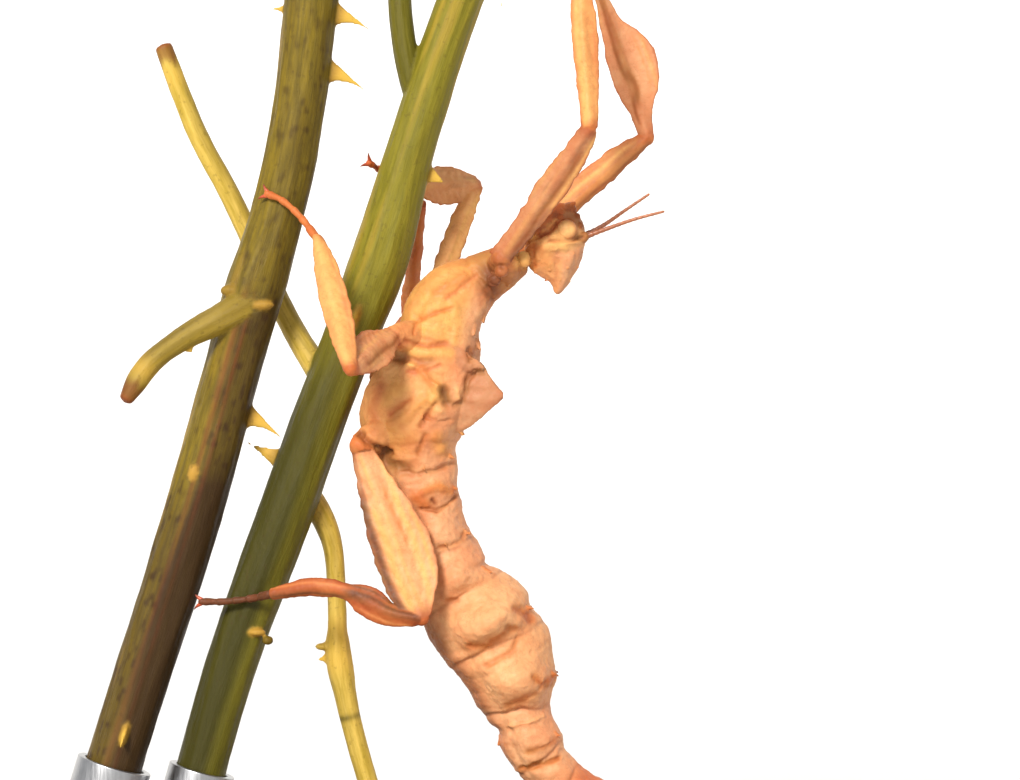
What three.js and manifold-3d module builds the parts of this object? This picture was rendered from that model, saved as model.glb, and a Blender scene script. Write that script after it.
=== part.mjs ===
// Giant prickly stick insect, a late-instar female about 95 mm long, climbing two rose stems.
// The stems stand in two short sleeves on a flat display base.
// Millimetres. +Z is up, +X is to the insect's back, -Y is its left side.
// The origin is the middle of the base's underside.

import * as THREE from 'three';
import { mergeVertices } from 'three/addons/utils/BufferGeometryUtils.js';
import Module from 'manifold-3d';

const wasm = await Module();
wasm.setup();

// ---------------------------------------------------------------- driving dimensions

const gap = 0.3; // clearance between neighbouring solids

const base = { width: 84, depth: 62, height: 6, corner: 9, chamfer: 1.2 };
const rod = { radius: 1.6, sleeveWall: 0.9, sleeveDepth: 11, sleeveFloor: 1.4 };

const blade = 0.36; // half thickness of the leafy edges of the legs
const clawLength = 1.7;
const thornFlatness = 0.32; // how thick a thorn is, as a share of its height along the stem
const thornSink = 0.6; // how deep a thorn's foot sits in the bark
const feeler = { root: 0.42, tip: 0.27 }; // radii of an antenna

const point = (x, y, z) => new THREE.Vector3(x, y, z);
const spline = (...points) => new THREE.CatmullRomCurve3(points, false, 'centripetal');
const farSide = point(0, 1, 0);

// ---------------------------------------------------------------- solids

function toSolid(geometry) {
  const bare = geometry.clone();
  bare.deleteAttribute('normal');
  bare.deleteAttribute('uv');
  const merged = mergeVertices(bare, 1e-4);
  return new wasm.Manifold(new wasm.Mesh({
    numProp: 3,
    vertProperties: new Float32Array(merged.attributes.position.array),
    triVerts: new Uint32Array(merged.index.array),
  }));
}

function toGeometry(solid) {
  const mesh = solid.getMesh();
  const geometry = new THREE.BufferGeometry();
  geometry.setAttribute('position', new THREE.BufferAttribute(mesh.vertProperties, 3));
  geometry.setIndex(new THREE.BufferAttribute(mesh.triVerts, 1));
  geometry.computeVertexNormals();
  return geometry;
}

// A smooth value between a few [place, value] pairs.
function through(...pairs) {
  const slope = (i) => {
    const a = pairs[Math.max(i - 1, 0)];
    const b = pairs[Math.min(i + 1, pairs.length - 1)];
    return (b[1] - a[1]) / (b[0] - a[0]);
  };
  return (place) => {
    const at = THREE.MathUtils.clamp(place, pairs[0][0], pairs.at(-1)[0]);
    const i = Math.max(1, pairs.findIndex((pair) => pair[0] >= at)) - 1;
    const span = pairs[i + 1][0] - pairs[i][0];
    const s = (at - pairs[i][0]) / span;
    const rise = pairs[i + 1][1] - pairs[i][1];
    const early = slope(i) * span;
    const late = slope(i + 1) * span;
    return pairs[i][1] + s * early + s * s * (3 * rise - 2 * early - late)
      + s * s * s * (early + late - 2 * rise);
  };
}

// A body swept along a curve. The section gives, for a place t from 0 to 1 and an angle, the
// reach of the skin across the face and through it. The face is the side it shows to farSide.
class Sweep {
  constructor({ path, section, sides = 12, steps = 12, face = farSide }) {
    Object.assign(this, { path, section, sides, steps, face });
  }

  frame(t) {
    const centre = this.path.getPointAt(t);
    const along = this.path.getTangentAt(t);
    const through = this.face.clone().addScaledVector(along, -this.face.dot(along)).normalize();
    const across = along.clone().cross(through);
    return { centre, along, through, across };
  }

  skin(t, angle, grow = 0) {
    const { centre, through, across } = this.frame(t);
    const [wide, deep] = this.section(t, angle);
    centre.addScaledVector(across, wide + grow * Math.cos(angle));
    return centre.addScaledVector(through, deep + grow * Math.sin(angle));
  }

  solid({ from = 0, to = 1, grow = 0 } = {}) {
    const geometry = new THREE.CylinderGeometry(1, 1, 1, this.sides, this.steps);
    const place = geometry.attributes.position;
    for (let i = 0; i < place.count; i += 1) {
      const [x, y, z] = [place.getX(i), place.getY(i), place.getZ(i)];
      const t = THREE.MathUtils.lerp(from, to, y + 0.5);
      const onAxis = Math.hypot(x, z) < 0.5;
      const spot = onAxis ? this.path.getPointAt(t) : this.skin(t, Math.atan2(z, x), grow);
      const past = Math.abs(y) > 0.499 ? grow * Math.sign(y) : 0;
      spot.addScaledVector(this.path.getTangentAt(t), past);
      place.setXYZ(i, spot.x, spot.y, spot.z);
    }
    return toSolid(geometry);
  }

  // A pointed spine on the skin, leaning back along the body.
  spine(t, angle, height, radius, lean = 0.35) {
    const { centre, along } = this.frame(t);
    const foot = this.skin(t, angle);
    const outward = foot.clone().sub(centre).normalize();
    foot.addScaledVector(outward, -radius);
    return spike(foot, outward.addScaledVector(along, lean), height + radius, radius);
  }
}

function spike(foot, direction, height, radius, sides = 4) {
  const geometry = new THREE.ConeGeometry(radius, height, sides);
  geometry.translate(0, height / 2, 0);
  const turn = new THREE.Quaternion().setFromUnitVectors(point(0, 1, 0), direction.clone().normalize());
  geometry.applyQuaternion(turn);
  geometry.translate(foot.x, foot.y, foot.z);
  return toSolid(geometry);
}

// ---------------------------------------------------------------- sections

const round = (radius) => (t, angle) => [radius(t) * Math.cos(angle), radius(t) * Math.sin(angle)];

// An oval whose back, belly and side reaches differ.
const oval = (back, belly, side) => (t, angle) => {
  const wide = Math.cos(angle) * (Math.cos(angle) > 0 ? back(t) : belly(t));
  return [wide, side(t) * Math.sin(angle)];
};

// A rib with a thin blade on each edge, which ends in a row of teeth.
const leaf = (rib, upper, lower, teeth = 0, toothHeight = 0) => (t, angle) => {
  const saw = (1 - Math.abs(((t * teeth) % 1) * 2 - 1)) * toothHeight * Math.cos(angle) ** 8;
  const wide = Math.cos(angle) * ((Math.cos(angle) > 0 ? upper(t) : lower(t)) + saw);
  const lift = Math.abs(Math.sin(angle));
  const ridge = (rib(t) - blade) * lift * Math.exp(-((wide / (rib(t) * 1.3)) ** 2));
  return [wide, Math.sign(Math.sin(angle)) * (blade * Math.sqrt(lift) + ridge)];
};

// ---------------------------------------------------------------- parts list

const insect = new THREE.Group();
const perch = new THREE.Group();
const stand = new THREE.Group();

const colours = {
  body: 0xf2b07a,
  thorax: 0xf0b070,
  abdomen: 0xf6ac75,
  tail: 0xe9864c,
  limb: 0xf0a873,
  foot: 0xb4622f,
  claw: 0xc85a38,
  eye: 0x6b3a22,
  feeler: 0xa4603a,
  oldStem: 0x7c6a2a,
  greenStem: 0x7f8434,
  twig: 0x9c9a3c,
  wood: 0x3a2a20,
  steel: 0x8d8f92,
};

function addPart(group, name, solid, colour, roughness = 0.7, metalness = 0) {
  const material = new THREE.MeshStandardMaterial({ color: colour, roughness, metalness });
  const mesh = new THREE.Mesh(toGeometry(solid), material);
  mesh.name = name;
  group.add(mesh);
}

const join = (solid, others) => others.reduce((whole, other) => whole.add(other), solid);
const cut = (solid, others) => others.reduce((rest, other) => rest.subtract(other), solid);

// The largest body that is left when a cut leaves scraps.
function mainBody(solid) {
  const bodies = solid.decompose();
  return bodies.reduce((best, body) => (body.volume() > best.volume() ? body : best), bodies[0]);
}

// ---------------------------------------------------------------- rose stems

const stems = {
  left: new Sweep({
    path: spline(
      point(-35.4, 0, 14), point(-29.6, 0, 32.5), point(-21.8, 0, 57.5), point(-16, 0, 79),
      point(-11.3, 0, 95), point(-9.2, 0, 106), point(-6.7, 0, 127.5),
    ),
    section: round(through(
      [0, 3.5], [0.28, 3.5], [0.42, 3.5], [0.56, 3.6], [0.62, 3.8], [0.67, 3.5], [0.75, 3.3], [1, 3.3],
    )),
    sides: 10,
    steps: 12,
  }),
  front: new Sweep({
    path: spline(
      point(-24.4, 2.5, 13), point(-17.6, 2.5, 37.3), point(-10.4, 2.5, 57.4), point(-5.8, 2.5, 70),
      point(0.8, 2.5, 87.5), point(5, 2.5, 102.5), point(11, 2.5, 120.3), point(19.6, 2.5, 140.5),
    ),
    section: round(through([0, 3], [0.3, 3.4], [0.5, 3.4], [0.58, 3.7], [0.68, 3], [1, 2.3])),
    sides: 10,
    steps: 13,
  }),
};
const fork = new Sweep({
  path: spline(point(7.2, 2.5, 104), point(4.9, 2.6, 110.2), point(3.7, 3, 116.5), point(3, 5, 128.1)),
  section: round(through([0, 1.8], [0.4, 1.5], [1, 1.45])),
  sides: 8,
  steps: 7,
});
const twigs = {
  upper_left: new Sweep({
    path: spline(
      point(-6.8, 3.4, 73.5), point(-11, 6, 80.4), point(-17.8, 6.4, 95),
      point(-22.5, 5.9, 104), point(-26.8, 6, 115.1),
    ),
    section: round(through([0, 1.6], [0.2, 1.45], [0.5, 1.35], [0.9, 1.2], [1, 1.1])),
    sides: 8,
    steps: 8,
  }),
  lower_left: new Sweep({
    path: spline(
      point(-14.2, -1, 82.6), point(-18.1, -3, 80.4), point(-23.6, -4, 77.4), point(-27.4, -5, 74.3),
      point(-30.3, -6.2, 69.7),
    ),
    section: round(through([0, 2.3], [0.25, 1.9], [0.6, 1.35], [0.85, 1.35], [1, 0.8])),
    sides: 8,
    steps: 6,
  }),
  right: new Sweep({
    path: spline(
      point(-10.8, 3, 60.5), point(-7.2, 5, 56.4), point(-5.3, 5.7, 52), point(-4.65, 5.8, 44),
      point(-4.5, 5.6, 38.3), point(-3.5, 5.2, 32.4), point(-2.2, 4.9, 26.9), point(1, 4, 16.3),
    ),
    section: round(through(
      [0, 1.8], [0.12, 1.6], [0.25, 1.3], [0.45, 1.2], [0.5, 1.5], [0.57, 1.6], [0.65, 1.35], [1, 1.2],
    )),
    sides: 8,
    steps: 9,
  }),
};

// A prickle: wide along the stem, flat across it, drooping to a fine tip. An angle of 0 points
// left, 180 right and -90 to the viewer.
function thorn(stem, t, degrees, length, foot, droop = 0.4) {
  const angle = THREE.MathUtils.degToRad(degrees);
  const { centre, along } = stem.frame(t);
  const root = stem.skin(t, angle, -thornSink);
  const outward = root.clone().sub(centre).normalize();
  const tip = root.clone().addScaledVector(outward, length + thornSink);
  tip.addScaledVector(along, -droop * length);
  const bend = root.clone().addScaledVector(outward, length * 0.5);
  const size = (place) => Math.max(0.06, (1 - place) ** 1.4);
  return new Sweep({
    path: new THREE.QuadraticBezierCurve3(root, bend, tip),
    section: (place, turn) => [
      foot * size(place) * Math.cos(turn),
      Math.max(0.06, foot * thornFlatness * size(place)) * Math.sin(turn),
    ],
    sides: 4,
    steps: 3,
    face: along.clone().cross(outward),
  }).solid();
}

const thorns = {
  left: [
    thorn(stems.left, 0.923, 0, 1.6, 0.8, 0.1),
    thorn(stems.left, 0.923, 180, 4.7, 1.8, 0.35),
    thorn(stems.left, 0.862, 180, 5, 1.8, 0.42),
    thorn(stems.left, 0.488, 180, 5, 1.8, 0.35),
    thorn(stems.left, 0.13, -95, 3.4, 1.9, 0.7),
  ],
  front: [
    thorn(stems.front, 0.672, 180, 3.3, 1.3, 0.3),
    thorn(stems.front, 0.522, -85, 3.2, 2.6, 0.6),
    thorn(stems.front, 0.378, 10, 6, 1.5, -0.15),
    thorn(stems.front, 0.862, 170, 2.9, 1.4, 0.9),
  ],
  lower_left: [thorn(twigs.lower_left, 0.5, 0, 1.6, 1.1, 0.4)],
  right: [thorn(twigs.right, 0.535, 180, 1.9, 1.3, -0.1)],
};

const stemSpace = Object.values(stems).map((stem) => stem.solid({ grow: gap }));
const [leftStemSpace, frontStemSpace] = stemSpace;

addPart(perch, 'stem_left', join(stems.left.solid(), thorns.left), colours.oldStem);
addPart(perch, 'stem_front', join(stems.front.solid(), thorns.front), colours.greenStem);
addPart(perch, 'stem_fork', mainBody(cut(fork.solid(), [frontStemSpace])), colours.greenStem);
addPart(
  perch, 'twig_upper_left',
  mainBody(cut(twigs.upper_left.solid(), [frontStemSpace, leftStemSpace])), colours.twig,
);
addPart(
  perch, 'twig_lower_left',
  mainBody(cut(join(twigs.lower_left.solid(), thorns.lower_left), [leftStemSpace])), colours.twig,
);
addPart(
  perch, 'twig_right',
  mainBody(cut(join(twigs.right.solid(), thorns.right), [frontStemSpace])), colours.twig,
);

// ---------------------------------------------------------------- display stand

function basePlate() {
  const [w, d, r] = [base.width / 2 - base.chamfer, base.depth / 2 - base.chamfer, base.corner];
  const outline = new THREE.Shape();
  outline.absarc(w - r, d - r, r, 0, Math.PI / 2);
  outline.absarc(r - w, d - r, r, Math.PI / 2, Math.PI);
  outline.absarc(r - w, r - d, r, Math.PI, Math.PI * 1.5);
  outline.absarc(w - r, r - d, r, Math.PI * 1.5, Math.PI * 2);
  const geometry = new THREE.ExtrudeGeometry(outline, {
    depth: base.height - 2 * base.chamfer,
    bevelEnabled: true,
    bevelThickness: base.chamfer,
    bevelSize: base.chamfer,
    bevelSegments: 1,
    curveSegments: 3,
  });
  geometry.translate(0, 0, base.chamfer);
  return toSolid(geometry);
}

// A rod on the base that ends in a sleeve round the lower end of a stem.
function sleeveRod(stem) {
  const { centre, along } = stem.frame(0);
  const inner = Math.hypot(...stem.section(0, 0)) + gap;
  const outer = inner + rod.sleeveWall;
  const profile = [
    [0, -rod.sleeveFloor - gap], [outer, -rod.sleeveFloor - gap], [outer, rod.sleeveDepth],
    [inner, rod.sleeveDepth], [inner, -gap], [0, -gap],
  ];
  const sleeve = new THREE.LatheGeometry(profile.map(([x, y]) => new THREE.Vector2(x, y)), 12);
  sleeve.applyQuaternion(new THREE.Quaternion().setFromUnitVectors(point(0, 1, 0), along));
  sleeve.translate(centre.x, centre.y, centre.z);
  const foot = centre.clone().addScaledVector(along, -gap - rod.sleeveFloor / 2);
  const height = foot.z - base.height - gap;
  const post = new THREE.CylinderGeometry(rod.radius, rod.radius, height, 12);
  post.rotateX(Math.PI / 2);
  post.translate(foot.x, foot.y, base.height + gap + height / 2);
  return toSolid(sleeve).add(toSolid(post));
}

addPart(stand, 'stand_base', basePlate(), colours.wood, 0.5);
addPart(stand, 'stand_rod_left', sleeveRod(stems.left), colours.steel, 0.35, 0.9);
addPart(stand, 'stand_rod_front', sleeveRod(stems.front), colours.steel, 0.35, 0.9);

// ---------------------------------------------------------------- trunk

const trunkPath = spline(
  point(19, 0, 87.8), point(14.8, 0, 85.1), point(9.2, 0, 80.2), point(6.8, 0, 73.2),
  point(5, 0, 65), point(6.9, 0, 56.5), point(10.2, 0, 48.4), point(14.8, 0, 40.9),
  point(18.2, 0, 33.6), point(20, 0, 26.6), point(25.2, 0, 21), point(33.5, 0, 18.4),
);
const trunkLength = trunkPath.getLength();

// Reach of the skin from the middle line, by distance behind the neck.
const backReach = through(
  [0, 1.8], [3, 2.3], [6, 2.6], [8, 3.4], [10.7, 4.4], [12.5, 5.1], [16, 6], [21, 6.6], [25.4, 6.3],
  [29.3, 5.5], [33.3, 5], [35.3, 4.4], [39.5, 4], [43.2, 4.3], [46.5, 4.1], [49.1, 5.4], [52.2, 6.4],
  [54.4, 6], [57.2, 6.4], [59.9, 5.8], [62.5, 5.2], [65, 3.5], [68, 3.9], [70.5, 3.9], [73, 3.2],
  [78, 3], [83, 2.4], [87, 1.3],
);
const bellyReach = through(
  [0, 2.2], [3, 3.1], [6, 4.1], [9, 5.2], [12.5, 5.4], [16, 4.8], [21, 6.2], [26, 6.8], [30.5, 4.9],
  [37, 4.2], [43.5, 5], [47, 6], [50.4, 6.7], [53, 6.9], [58.7, 5.8], [62.8, 5.3], [65, 4.6],
  [67.2, 3.4], [73, 3.1], [78, 2.8], [83, 2.3], [87, 1.3],
);
const sideReach = through(
  [0, 2], [6, 2.8], [9, 3.5], [12.5, 4.5], [16, 5.2], [21, 5.6], [26, 5.5], [30.5, 4.9], [37, 4.6],
  [43.5, 5], [48, 5.6], [52, 6.1], [58, 5.8], [62.5, 5.1], [65, 4.3], [70, 4.1], [73, 3.6],
  [78, 3.1], [83, 2.4], [87, 1.3],
);

// Segments by their rear edge, with how far each swells and how far its side lobes stand out.
const segments = [
  { name: 'prothorax', rear: 6, swell: 0.04, lobe: 0, colour: colours.thorax, steps: 4 },
  { name: 'mesothorax', rear: 15.6, swell: 0.05, lobe: 0, colour: colours.thorax, steps: 5 },
  { name: 'metathorax', rear: 28.4, swell: 0.06, lobe: 0, colour: colours.thorax, steps: 6 },
  { name: 'abdomen_2', rear: 32.3, swell: 0.04, lobe: 0, colour: colours.abdomen, steps: 3 },
  { name: 'abdomen_3', rear: 36.7, swell: 0.05, lobe: 0.3, colour: colours.abdomen, steps: 3 },
  { name: 'abdomen_4', rear: 42.7, swell: 0.05, lobe: 0.8, colour: colours.abdomen, steps: 4 },
  { name: 'abdomen_5', rear: 48.6, swell: 0.05, lobe: 1.8, colour: colours.abdomen, steps: 5 },
  { name: 'abdomen_6', rear: 56, swell: 0.07, lobe: 2.8, colour: colours.abdomen, steps: 5 },
  { name: 'abdomen_7', rear: 64.6, swell: 0.06, lobe: 2.2, colour: colours.abdomen, steps: 5 },
  { name: 'abdomen_8', rear: 71.3, swell: 0.05, lobe: 0.6, colour: colours.abdomen, steps: 4 },
  { name: 'tail', rear: trunkLength, swell: 0.03, lobe: 0, colour: colours.tail, steps: 7 },
];
segments.forEach((segment, i) => {
  segment.front = i === 0 ? 0 : segments[i - 1].rear;
});

function trunkSection(t, angle) {
  const place = t * trunkLength;
  const segment = segments.find((each) => place <= each.rear + 1e-6) ?? segments.at(-1);
  const share = THREE.MathUtils.clamp((place - segment.front) / (segment.rear - segment.front), 0, 1);
  const swell = 1 + segment.swell * (Math.sin(Math.PI * share) * 1.6 - 0.6);
  const reach = Math.cos(angle) > 0 ? backReach(place) : bellyReach(place);
  const flank = Math.sin(angle) ** 8 * segment.lobe * Math.sin(Math.PI * share ** 1.4) ** 1.5;
  const side = sideReach(place) * swell + flank;
  return [reach * swell * Math.cos(angle), side * Math.sin(angle)];
}

const trunk = new Sweep({ path: trunkPath, section: trunkSection, sides: 12, steps: 60 });

function trunkPiece(segment, grow = 0) {
  const piece = new Sweep({ path: trunkPath, section: trunkSection, sides: 12, steps: segment.steps });
  return piece.solid({
    from: (segment.front + (segment.front > 0 ? gap / 2 : 0)) / trunkLength,
    to: Math.min(1, (segment.rear - (segment.rear < trunkLength ? gap / 2 : 0)) / trunkLength),
    grow,
  });
}

// Spines in pairs on the back, and along the flanks: [distance, degrees from the back, height].
const spines = [
  [8.5, 30, 1.2], [11, 42, 1.3], [13.6, 24, 1.4], [17.5, 36, 1.3], [26, 28, 1.2], [31, 30, 0.9],
  [35.5, 30, 1], [41.5, 32, 1.1], [47.5, 34, 1.2], [54.5, 30, 1.3], [62.5, 30, 1.1], [69.5, 34, 0.8],
];
function spinesOn(segment) {
  return spines
    .filter(([place]) => place > segment.front && place < segment.rear)
    .flatMap(([place, degrees, height]) => [-1, 1].map((hand) => trunk.spine(
      place / trunkLength, THREE.MathUtils.degToRad(hand * degrees), height, 0.55,
    )));
}

// Wing buds: flaps on the hind half of the thorax that point back and outward, a short front pair
// and a longer hind pair.
const wingBuds = {
  front: {
    line: [[9, 3.6, 75.6], [12, 4.3, 74.8], [14.5, 4.4, 73.6]],
    upper: through([0, 3.2], [0.5, 2.3], [0.85, 1], [1, 0.3]),
    lower: through([0, 3.2], [0.5, 2.3], [0.85, 1], [1, 0.3]),
  },
  hind: {
    line: [[8.6, 3.2, 70.6], [12.6, 4, 70.4], [16.4, 4.2, 70.5]],
    upper: through([0, 4], [0.5, 3], [0.85, 1.2], [1, 0.3]),
    lower: through([0, 5.2], [0.44, 4], [0.85, 1.3], [1, 0.3]),
  },
};
function wingBud(pair, hand) {
  const { line, upper, lower } = wingBuds[pair];
  const path = new THREE.QuadraticBezierCurve3(...line.map(([x, y, z]) => point(x, hand * y, z)));
  return new Sweep({ path, section: leaf(() => 0.8, upper, lower), sides: 6, steps: 3 }).solid();
}

// Tip of the tail: the keeled egg-laying sheath and two short cerci.
const sheath = new Sweep({
  path: spline(point(29, 0, 17.6), point(33, 0, 16.6), point(36.6, 0, 16.9)),
  section: oval(() => 0.9, through([0, 1.2], [1, 0.4]), through([0, 1.1], [1, 0.4])),
  sides: 6,
  steps: 4,
});
const cerci = [-1, 1].map((hand) => spike(point(32, hand * 0.9, 19), point(1, hand * 0.25, 0.12), 3.6, 0.5));

const extras = {
  metathorax: [-1, 1].flatMap((hand) => [wingBud('front', hand), wingBud('hind', hand)]),
  tail: [sheath.solid(), ...cerci],
};
segments.forEach((segment) => {
  const parts = [...spinesOn(segment), ...(extras[segment.name] ?? [])];
  const neighbours = segments
    .filter((other) => Math.abs(segments.indexOf(other) - segments.indexOf(segment)) === 1)
    .map((other) => trunkPiece(other, 0.02));
  addPart(insect, segment.name, mainBody(cut(join(trunkPiece(segment), parts), neighbours)), segment.colour);
});

// ---------------------------------------------------------------- head

const headPath = spline(
  point(23.1, 0, 83.2), point(23.5, 0, 85), point(23.3, 0, 87.3), point(23, 0, 89.4),
  point(23.2, 0, 91.4), point(24.4, 0, 94.4),
);
const head = new Sweep({
  path: headPath,
  section: oval(
    through([0, 0.25], [0.12, 1.3], [0.22, 2.4], [0.35, 3.4], [0.55, 3.9], [0.75, 3], [0.9, 2], [1, 0.7]),
    through([0, 0.25], [0.15, 1.2], [0.35, 3], [0.5, 3.9], [0.75, 3.7], [0.9, 2.6], [1, 0.7]),
    through([0, 0.3], [0.15, 1.2], [0.35, 2.2], [0.55, 2.9], [0.75, 2.6], [0.9, 1.7], [1, 0.7]),
  ),
  sides: 12,
  steps: 9,
});
const crown = [0.18, 0.36].flatMap((t, i) => [30 + i * 30, 140].flatMap((degrees) => [-1, 1].map(
  (hand) => head.spine(t, THREE.MathUtils.degToRad(hand * degrees), 0.95 - i * 0.15, 0.4, -0.6),
)));

// The front of the mouth: upper lip, two jaws and four short palps.
const jawPath = (hand) => spline(
  point(20.8, hand * 0.9, 89.6), point(21.2, hand * 1.5, 92), point(23.2, hand * 0.8, 94),
);
const mouth = [-1, 1].flatMap((hand) => [
  new Sweep({
    path: jawPath(hand),
    section: round(through([0, 0.7], [0.5, 1.1], [1, 0.5])),
    sides: 5,
    steps: 3,
  }).solid(),
  spike(point(20.6, hand * 1.3, 91), point(-0.55, hand * 0.3, 0.8), 2.2, 0.45, 4),
  spike(point(21.8, hand * 1.1, 92.6), point(-0.2, hand * 0.3, 1), 2, 0.42, 4),
]);

function eye(hand, grow = 0) {
  const geometry = new THREE.SphereGeometry(1, 8, 6);
  geometry.scale(0.95 + grow, 0.7 + grow, 1.1 + grow);
  geometry.translate(24.3, hand * 2.55, 90.9);
  return toSolid(geometry);
}

const feelers = {
  left: spline(
    point(26, -0.95, 90.1), point(29.2, -1.2, 91.3), point(32.7, -1.6, 92.5), point(36.5, -1.8, 93.5),
  ),
  right: spline(
    point(25.9, 0.95, 90.3), point(28.8, 1.2, 91.8), point(31.7, 1.8, 93.8), point(34.8, 2, 95.9),
  ),
};
const feelerSection = (t, angle) => {
  const radius = t < 0.12 ? 0.62 : THREE.MathUtils.lerp(feeler.root, feeler.tip, t);
  return [radius * Math.cos(angle), radius * Math.sin(angle)];
};

const neckSpace = trunkPiece(segments[0], gap);
const headWhole = cut(join(head.solid(), [...crown, ...mouth]), [eye(-1, gap), eye(1, gap), neckSpace]);
addPart(insect, 'head', mainBody(headWhole), colours.body);
addPart(insect, 'eye_left', eye(-1), colours.eye, 0.25);
addPart(insect, 'eye_right', eye(1), colours.eye, 0.25);
Object.entries(feelers).forEach(([side, path]) => {
  const antenna = new Sweep({ path, section: feelerSection, sides: 5, steps: 7 });
  const clear = cut(antenna.solid(), [head.solid({ grow: gap })]);
  addPart(insect, `antenna_${side}`, mainBody(clear), colours.feeler);
});

// ---------------------------------------------------------------- legs

// Each leg runs from the root of its coxa in the trunk through hip, knee and ankle to the foot's
// curve. A limb's leaf reaches out on either side of the rib, by place along the limb.
const thin = through([0, 0.7], [0.15, 1.2], [0.4, 0.9], [1, 0.6]);
const legs = {
  front_left: {
    coxa: point(16.6, -1, 86.4),
    hip: point(16.1, -3.6, 87.4),
    knee: point(27, -10, 103.3),
    ankle: point(25.6, -7, 123.9),
    foot: [point(23.4, -4.8, 128), point(20, -1.4, 132.6), point(18.2, -0.6, 134.6)],
    femur: {
      upper: through([0, 1.9], [0.15, 1.7], [0.35, 1.3], [0.8, 1.2], [1, 1]),
      lower: through([0, 1], [0.4, 1.9], [0.75, 1.8], [1, 1]),
    },
    tibia: {
      upper: through([0, 1], [0.2, 1.1], [0.6, 1.4], [0.85, 1.1], [1, 0.7]),
      lower: through([0, 1], [0.4, 1.7], [0.7, 1.6], [1, 0.7]),
    },
  },
  front_right: {
    coxa: point(16.6, 1, 86.4),
    hip: point(17, 3.6, 87.6),
    knee: point(34.7, 6.4, 103.2),
    ankle: point(27.8, 6.4, 123.9),
    foot: [point(24.4, 6.6, 128.4), point(20.8, 5.4, 133.2), point(18.8, 5.9, 135.6)],
    femur: {
      upper: through([0, 1], [0.4, 2], [0.8, 1.7], [1, 0.9]),
      lower: through([0, 1], [0.4, 1.5], [0.8, 1.3], [1, 0.8]),
    },
    tibia: {
      upper: through([0, 0.9], [0.17, 1], [0.28, 1.4], [0.5, 1.5], [0.7, 1.2], [0.85, 0.8], [1, 0.7]),
      lower: through([0, 0.9], [0.17, 1.7], [0.27, 3], [0.4, 4.1], [0.54, 4.3], [0.7, 2.2], [0.85, 0.8]),
    },
  },
  middle_left: {
    coxa: point(6, -2, 77.8),
    hip: point(3, -5.6, 78),
    knee: point(-1.8, -19.2, 73.8),
    ankle: point(-6.6, -7, 90),
    foot: [point(-8.7, -4.9, 92.7), point(-11.1, -3.9, 94.8), point(-12.7, -3.6, 95.5)],
    femur: {
      upper: through([0, 1], [0.45, 2.3], [0.8, 1.8], [1, 1]),
      lower: through([0, 1.2], [0.45, 2.7], [0.8, 2], [1, 1]),
    },
    tibia: {
      upper: through([0, 0.9], [0.35, 1.5], [0.65, 1.4], [1, 0.5]),
      lower: through([0, 0.9], [0.4, 1.9], [0.65, 1.8], [1, 0.5]),
    },
    femurFace: point(-0.64, 0.4, -0.64),
  },
  middle_right: {
    coxa: point(6.6, 2, 78.6),
    hip: point(6.5, 5.6, 80.4),
    knee: point(12.7, 17, 97.8),
    ankle: point(5, 8.9, 97.7),
    foot: [point(4.7, 7.4, 100.5), point(6, 6.3, 103.6), point(7.4, 5.9, 107)],
    femur: {
      upper: through([0, 0.9], [0.5, 1.4], [1, 1.1]),
      lower: through([0, 0.9], [0.5, 1.4], [1, 1.1]),
    },
    tibia: {
      upper: through([0, 1.2], [0.4, 2.6], [0.8, 2.2], [1, 0.7]),
      lower: through([0, 1.2], [0.4, 2.2], [0.8, 1.8], [1, 0.7]),
    },
  },
  hind_left: {
    coxa: point(2.4, -2, 66.4),
    hip: point(-1.3, -5, 64.3),
    knee: point(6.5, -9.6, 43.3),
    ankle: point(-12.3, -4.2, 46),
    foot: [point(-15, -2.2, 45.3), point(-18.6, -1.7, 44.9), point(-21, -1.6, 44.9)],
    femur: {
      upper: through([0, 1.2], [0.25, 2.6], [0.55, 4.2], [0.8, 3.7], [1, 1.1]),
      lower: through([0, 1.2], [0.3, 2.2], [0.58, 2.8], [0.86, 2.4], [1, 1]),
    },
    tibia: {
      upper: through([0, 0.7], [0.2, 1.3], [0.34, 1.9], [0.42, 1.7], [0.5, 0.9], [0.7, 1.1], [1, 0.7]),
      lower: through([0, 0.7], [0.2, 1.2], [0.34, 1.8], [0.42, 1.4], [0.5, 1], [0.72, 1.2], [1, 0.7]),
    },
    tibiaBends: [point(2.5, -8.6, 44), point(-2.3, -7.3, 46.2), point(-6.9, -6, 46.9)],
  },
  hind_right: {
    coxa: point(2.4, 2, 66.8),
    hip: point(0.2, 5.4, 66.2),
    knee: point(3.9, 20.2, 80.5),
    ankle: point(6, 8.2, 95),
    foot: [point(3.6, 6.7, 97.2), point(0.9, 5.3, 99), point(-0.4, 3.2, 99.8)],
    femur: {
      upper: through([0, 1.2], [0.3, 2.2], [0.6, 2.9], [0.85, 2], [1, 1]),
      lower: through([0, 1.2], [0.3, 2], [0.6, 2.4], [0.85, 1.8], [1, 1]),
    },
    tibia: { upper: thin, lower: thin },
  },
};

const toothCount = 5;
const femurTooth = 0.45;
const tibiaTooth = 0.35;
const trunkSpace = trunk.solid({ grow: gap });
const rib = through([0, 0.95], [0.5, 0.8], [1, 0.85]);
const footRadius = through([0, 0.7], [0.2, 0.55], [0.85, 0.5], [1, 0.6]);

function limb(path, leafReach, tooth, face = farSide) {
  return new Sweep({
    path,
    section: leaf(rib, leafReach.upper, leafReach.lower, toothCount, tooth),
    sides: 8,
    steps: toothCount * 2,
    face,
  });
}

function clawPair(foot) {
  const { centre, along, across, through: inward } = foot.frame(0.97);
  return [-1, 1].map((hand) => {
    const way = along.clone().addScaledVector(across, hand * 0.75).addScaledVector(inward, 0.15);
    return spike(centre, way, clawLength, 0.36);
  });
}

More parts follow.
